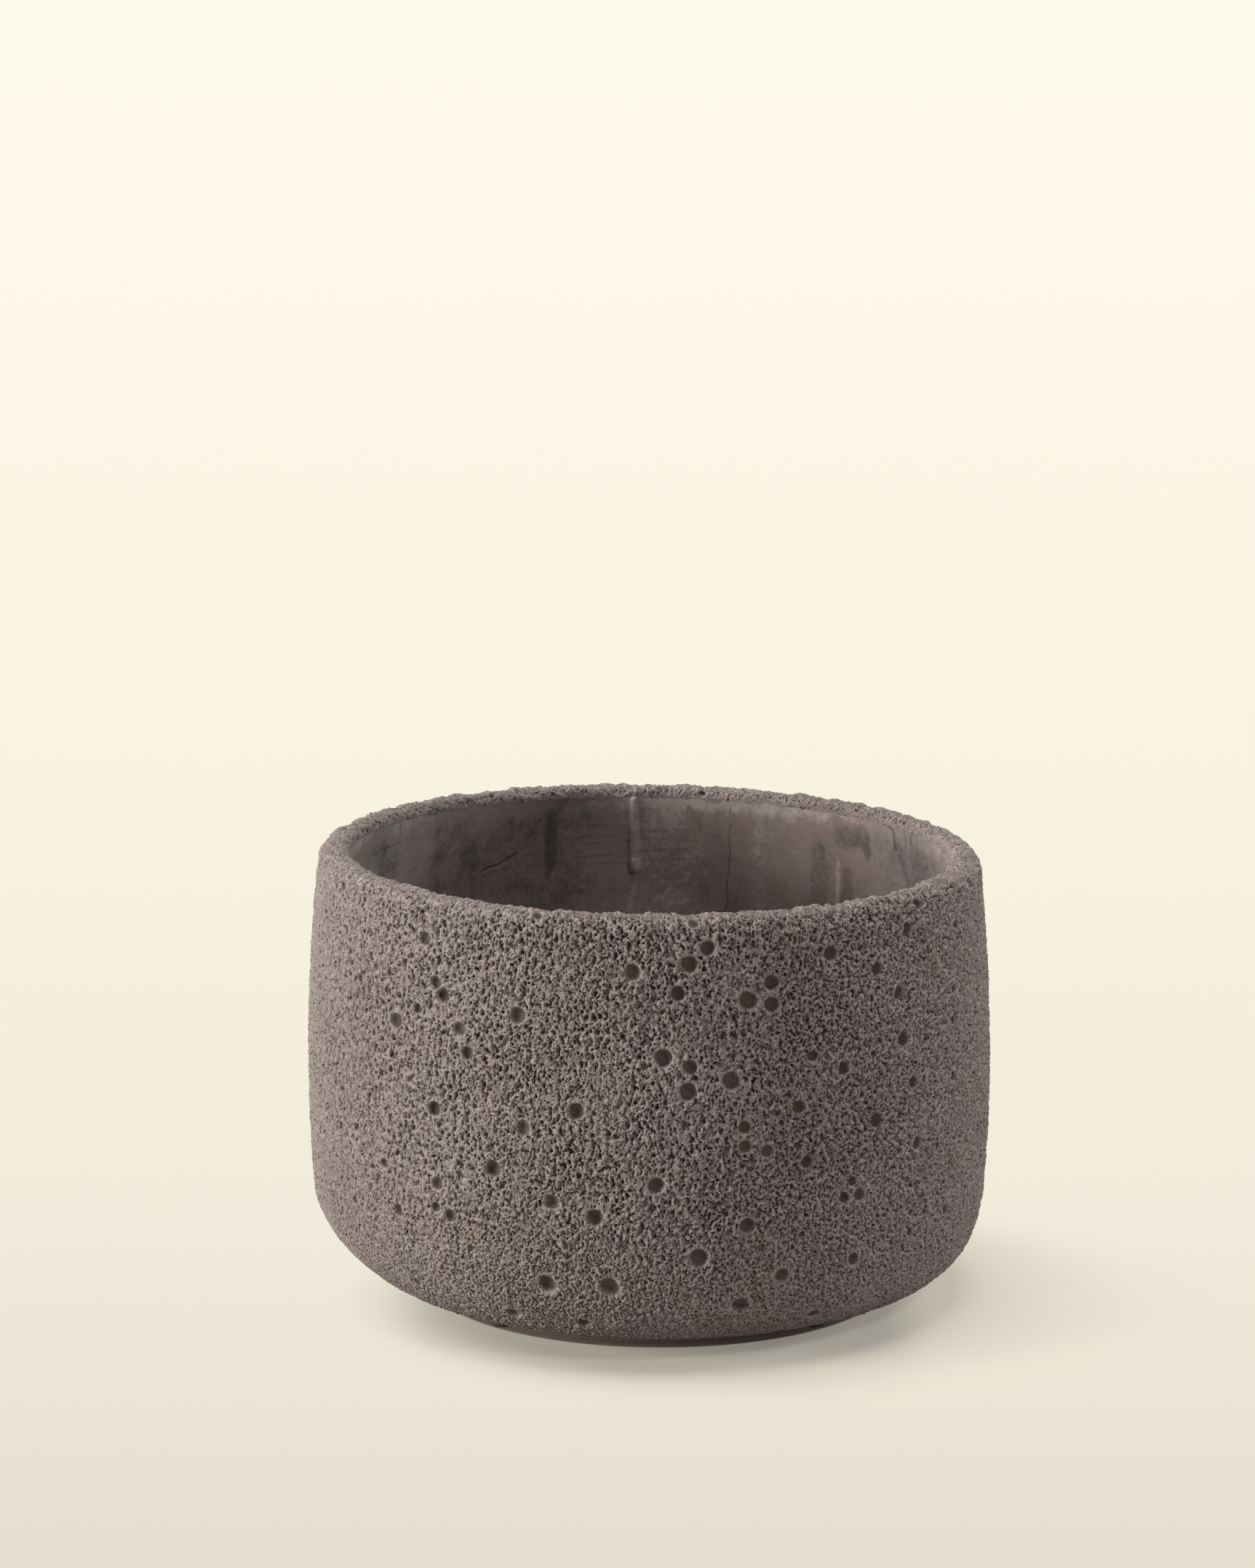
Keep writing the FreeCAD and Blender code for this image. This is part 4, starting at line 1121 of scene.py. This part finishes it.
def shadow_share(nodes, x, y, from_foot):
    """How much of the lamps' shadow the floor shows, from 0 to 1."""
    beside, before = (
        nodes.math("DIVIDE", nodes.math("SUBTRACT", place, middle), reach)
        for place, middle, reach in zip((x, y), SHADOW_MIDDLE, SHADOW_REACH)
    )
    away = nodes.math("ADD", nodes.math("POWER", beside, 2.0), nodes.math("POWER", before, 2.0))
    share = nodes.ramp(nodes.math("SQRT", away), *SHADOW_EDGE, 1.0, 0.0)
    share = nodes.math("MULTIPLY", share, nodes.ramp(from_foot, *UNDER_EDGE, 1.0, OUTSIDE_SHARE))
    aside = nodes.math("ABSOLUTE", x)
    return nodes.math("MULTIPLY", share, nodes.ramp(aside, *SHADOW_BESIDE, 1.0, BESIDE_SHARE))


def floor_material():
    """Pale cream floor that darkens towards the front, with a soft shadow around the pot.

    Away from the pot it shows its own colour by its own light. Under the foot it has painted shade in dark
    brown, with a weak painted glow. What it throws back on the pot comes from a darker grey, as from a floor
    of studio size.
    """
    nodes = new_material("floor")
    place = nodes.place()
    split = nodes.add("ShaderNodeSeparateXYZ", {0: place}).outputs
    foot = (FOOT_SHIFT * MM, 0, 0)
    offset = nodes.add("ShaderNodeVectorMath", {0: place, 1: foot}, operation="SUBTRACT").outputs[0]
    from_foot = nodes.add("ShaderNodeVectorMath", {0: offset}, operation="LENGTH").outputs["Value"]

    own = floor_colour(nodes, split["Y"])
    seen = nodes.seen()
    unshadowed = nodes.math("SUBTRACT", 1.0, shadow_share(nodes, split["X"], split["Y"], from_foot))
    # Under the foot: painted shade in dark brown, lifted by a weak painted glow
    under = nodes.ramp(from_foot, *UNDER_EDGE, UNDER_SHARE, 0.0)
    lit = nodes.mix(under, nodes.mix(unshadowed, own, (0, 0, 0)), FLOOR_UNDER_SHADE)
    light = nodes.math("MAXIMUM", unshadowed, nodes.math("MULTIPLY", under, UNDER_PAINTED_GLOW))
    inputs = {
        "Base Color": nodes.mix(seen, FLOOR_BOUNCE, lit),
        "Emission Color": nodes.mix(under, own, FLOOR_UNDER_SHADE),
        "Emission Strength": nodes.math("MULTIPLY", seen, light),
        "Roughness": 1.0,
        "Specular IOR Level": 0.0,
    }
    return nodes.surface(inputs)


def make_floor():
    mesh = bpy.data.meshes.new("floor")
    half = FLOOR_SIDE / 2
    corners = [(-half, -half, 0), (half, -half, 0), (half, half, 0), (-half, half, 0)]
    mesh.from_pydata(corners, [], [(0, 1, 2, 3)])
    mesh.materials.append(floor_material())
    floor = new_object("floor", mesh)


def make_lights():
    """Soft light from above, strong low light from the left, and weak light from the front and right."""
    for name, place, strength, width, colour in LAMPS:
        lamp = bpy.data.lights.new(name, "SUN")
        lamp.energy = math.pi * strength
        lamp.angle = math.radians(width)
        lamp.color = colour
        light = new_object(name, lamp)
        light.rotation_euler = Vector(place).to_track_quat("Z", "Y").to_euler()


def make_world():
    """Weak light from all around, which camera rays and reflections see as the pale backdrop."""
    world = bpy.data.worlds.new("studio")
    nodes = Nodes(world)
    light = {"Color": (*WORLD_COLOUR, 1), "Strength": WORLD_STRENGTH}
    around = nodes.fill(nodes.tree.nodes["Background"], light).outputs[0]
    backdrop = nodes.add("ShaderNodeBackground", {"Color": (*FLOOR_STOPS[-1][1], 1)}).outputs[0]
    choice = nodes.add("ShaderNodeMixShader", {0: nodes.seen(), 1: around, 2: backdrop}).outputs[0]
    nodes.fill(nodes.tree.nodes["World Output"], {"Surface": choice})
    bpy.context.scene.world = world


def make_camera():
    place, _, _, _, turn = camera_axes()
    lens = bpy.data.cameras.new("camera")
    lens.sensor_width = SENSOR
    lens.lens = FOCAL_PIXELS * SENSOR / PHOTO_SIZE[1]
    lens.clip_end = 100
    camera = new_object("camera", lens)
    camera.location = place * MM
    camera.rotation_euler = turn.to_euler()
    bpy.context.scene.camera = camera


def dress_nodes():
    """Materials of the plug and the pads, which keep the solids' own meshes."""
    looks = {"drain_plug": rubber_material(), "foot_pad": felt_material()}
    for name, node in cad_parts.items():
        for start, material in looks.items():
            if name.startswith(start):
                node.data.materials.clear()
                node.data.materials.append(material)


make_camera()
make_lights()
make_world()
make_floor()
dress_nodes()

coat = make_coat()
coat.data.materials.append(coat_material())
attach(coat, "pot")
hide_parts("rough_coat")

shell = make_shell()
shell.data.materials.append(clay_material())
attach(shell, "pot")
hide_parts("pot_shell")

bpy.context.scene.view_settings.view_transform = "Standard"
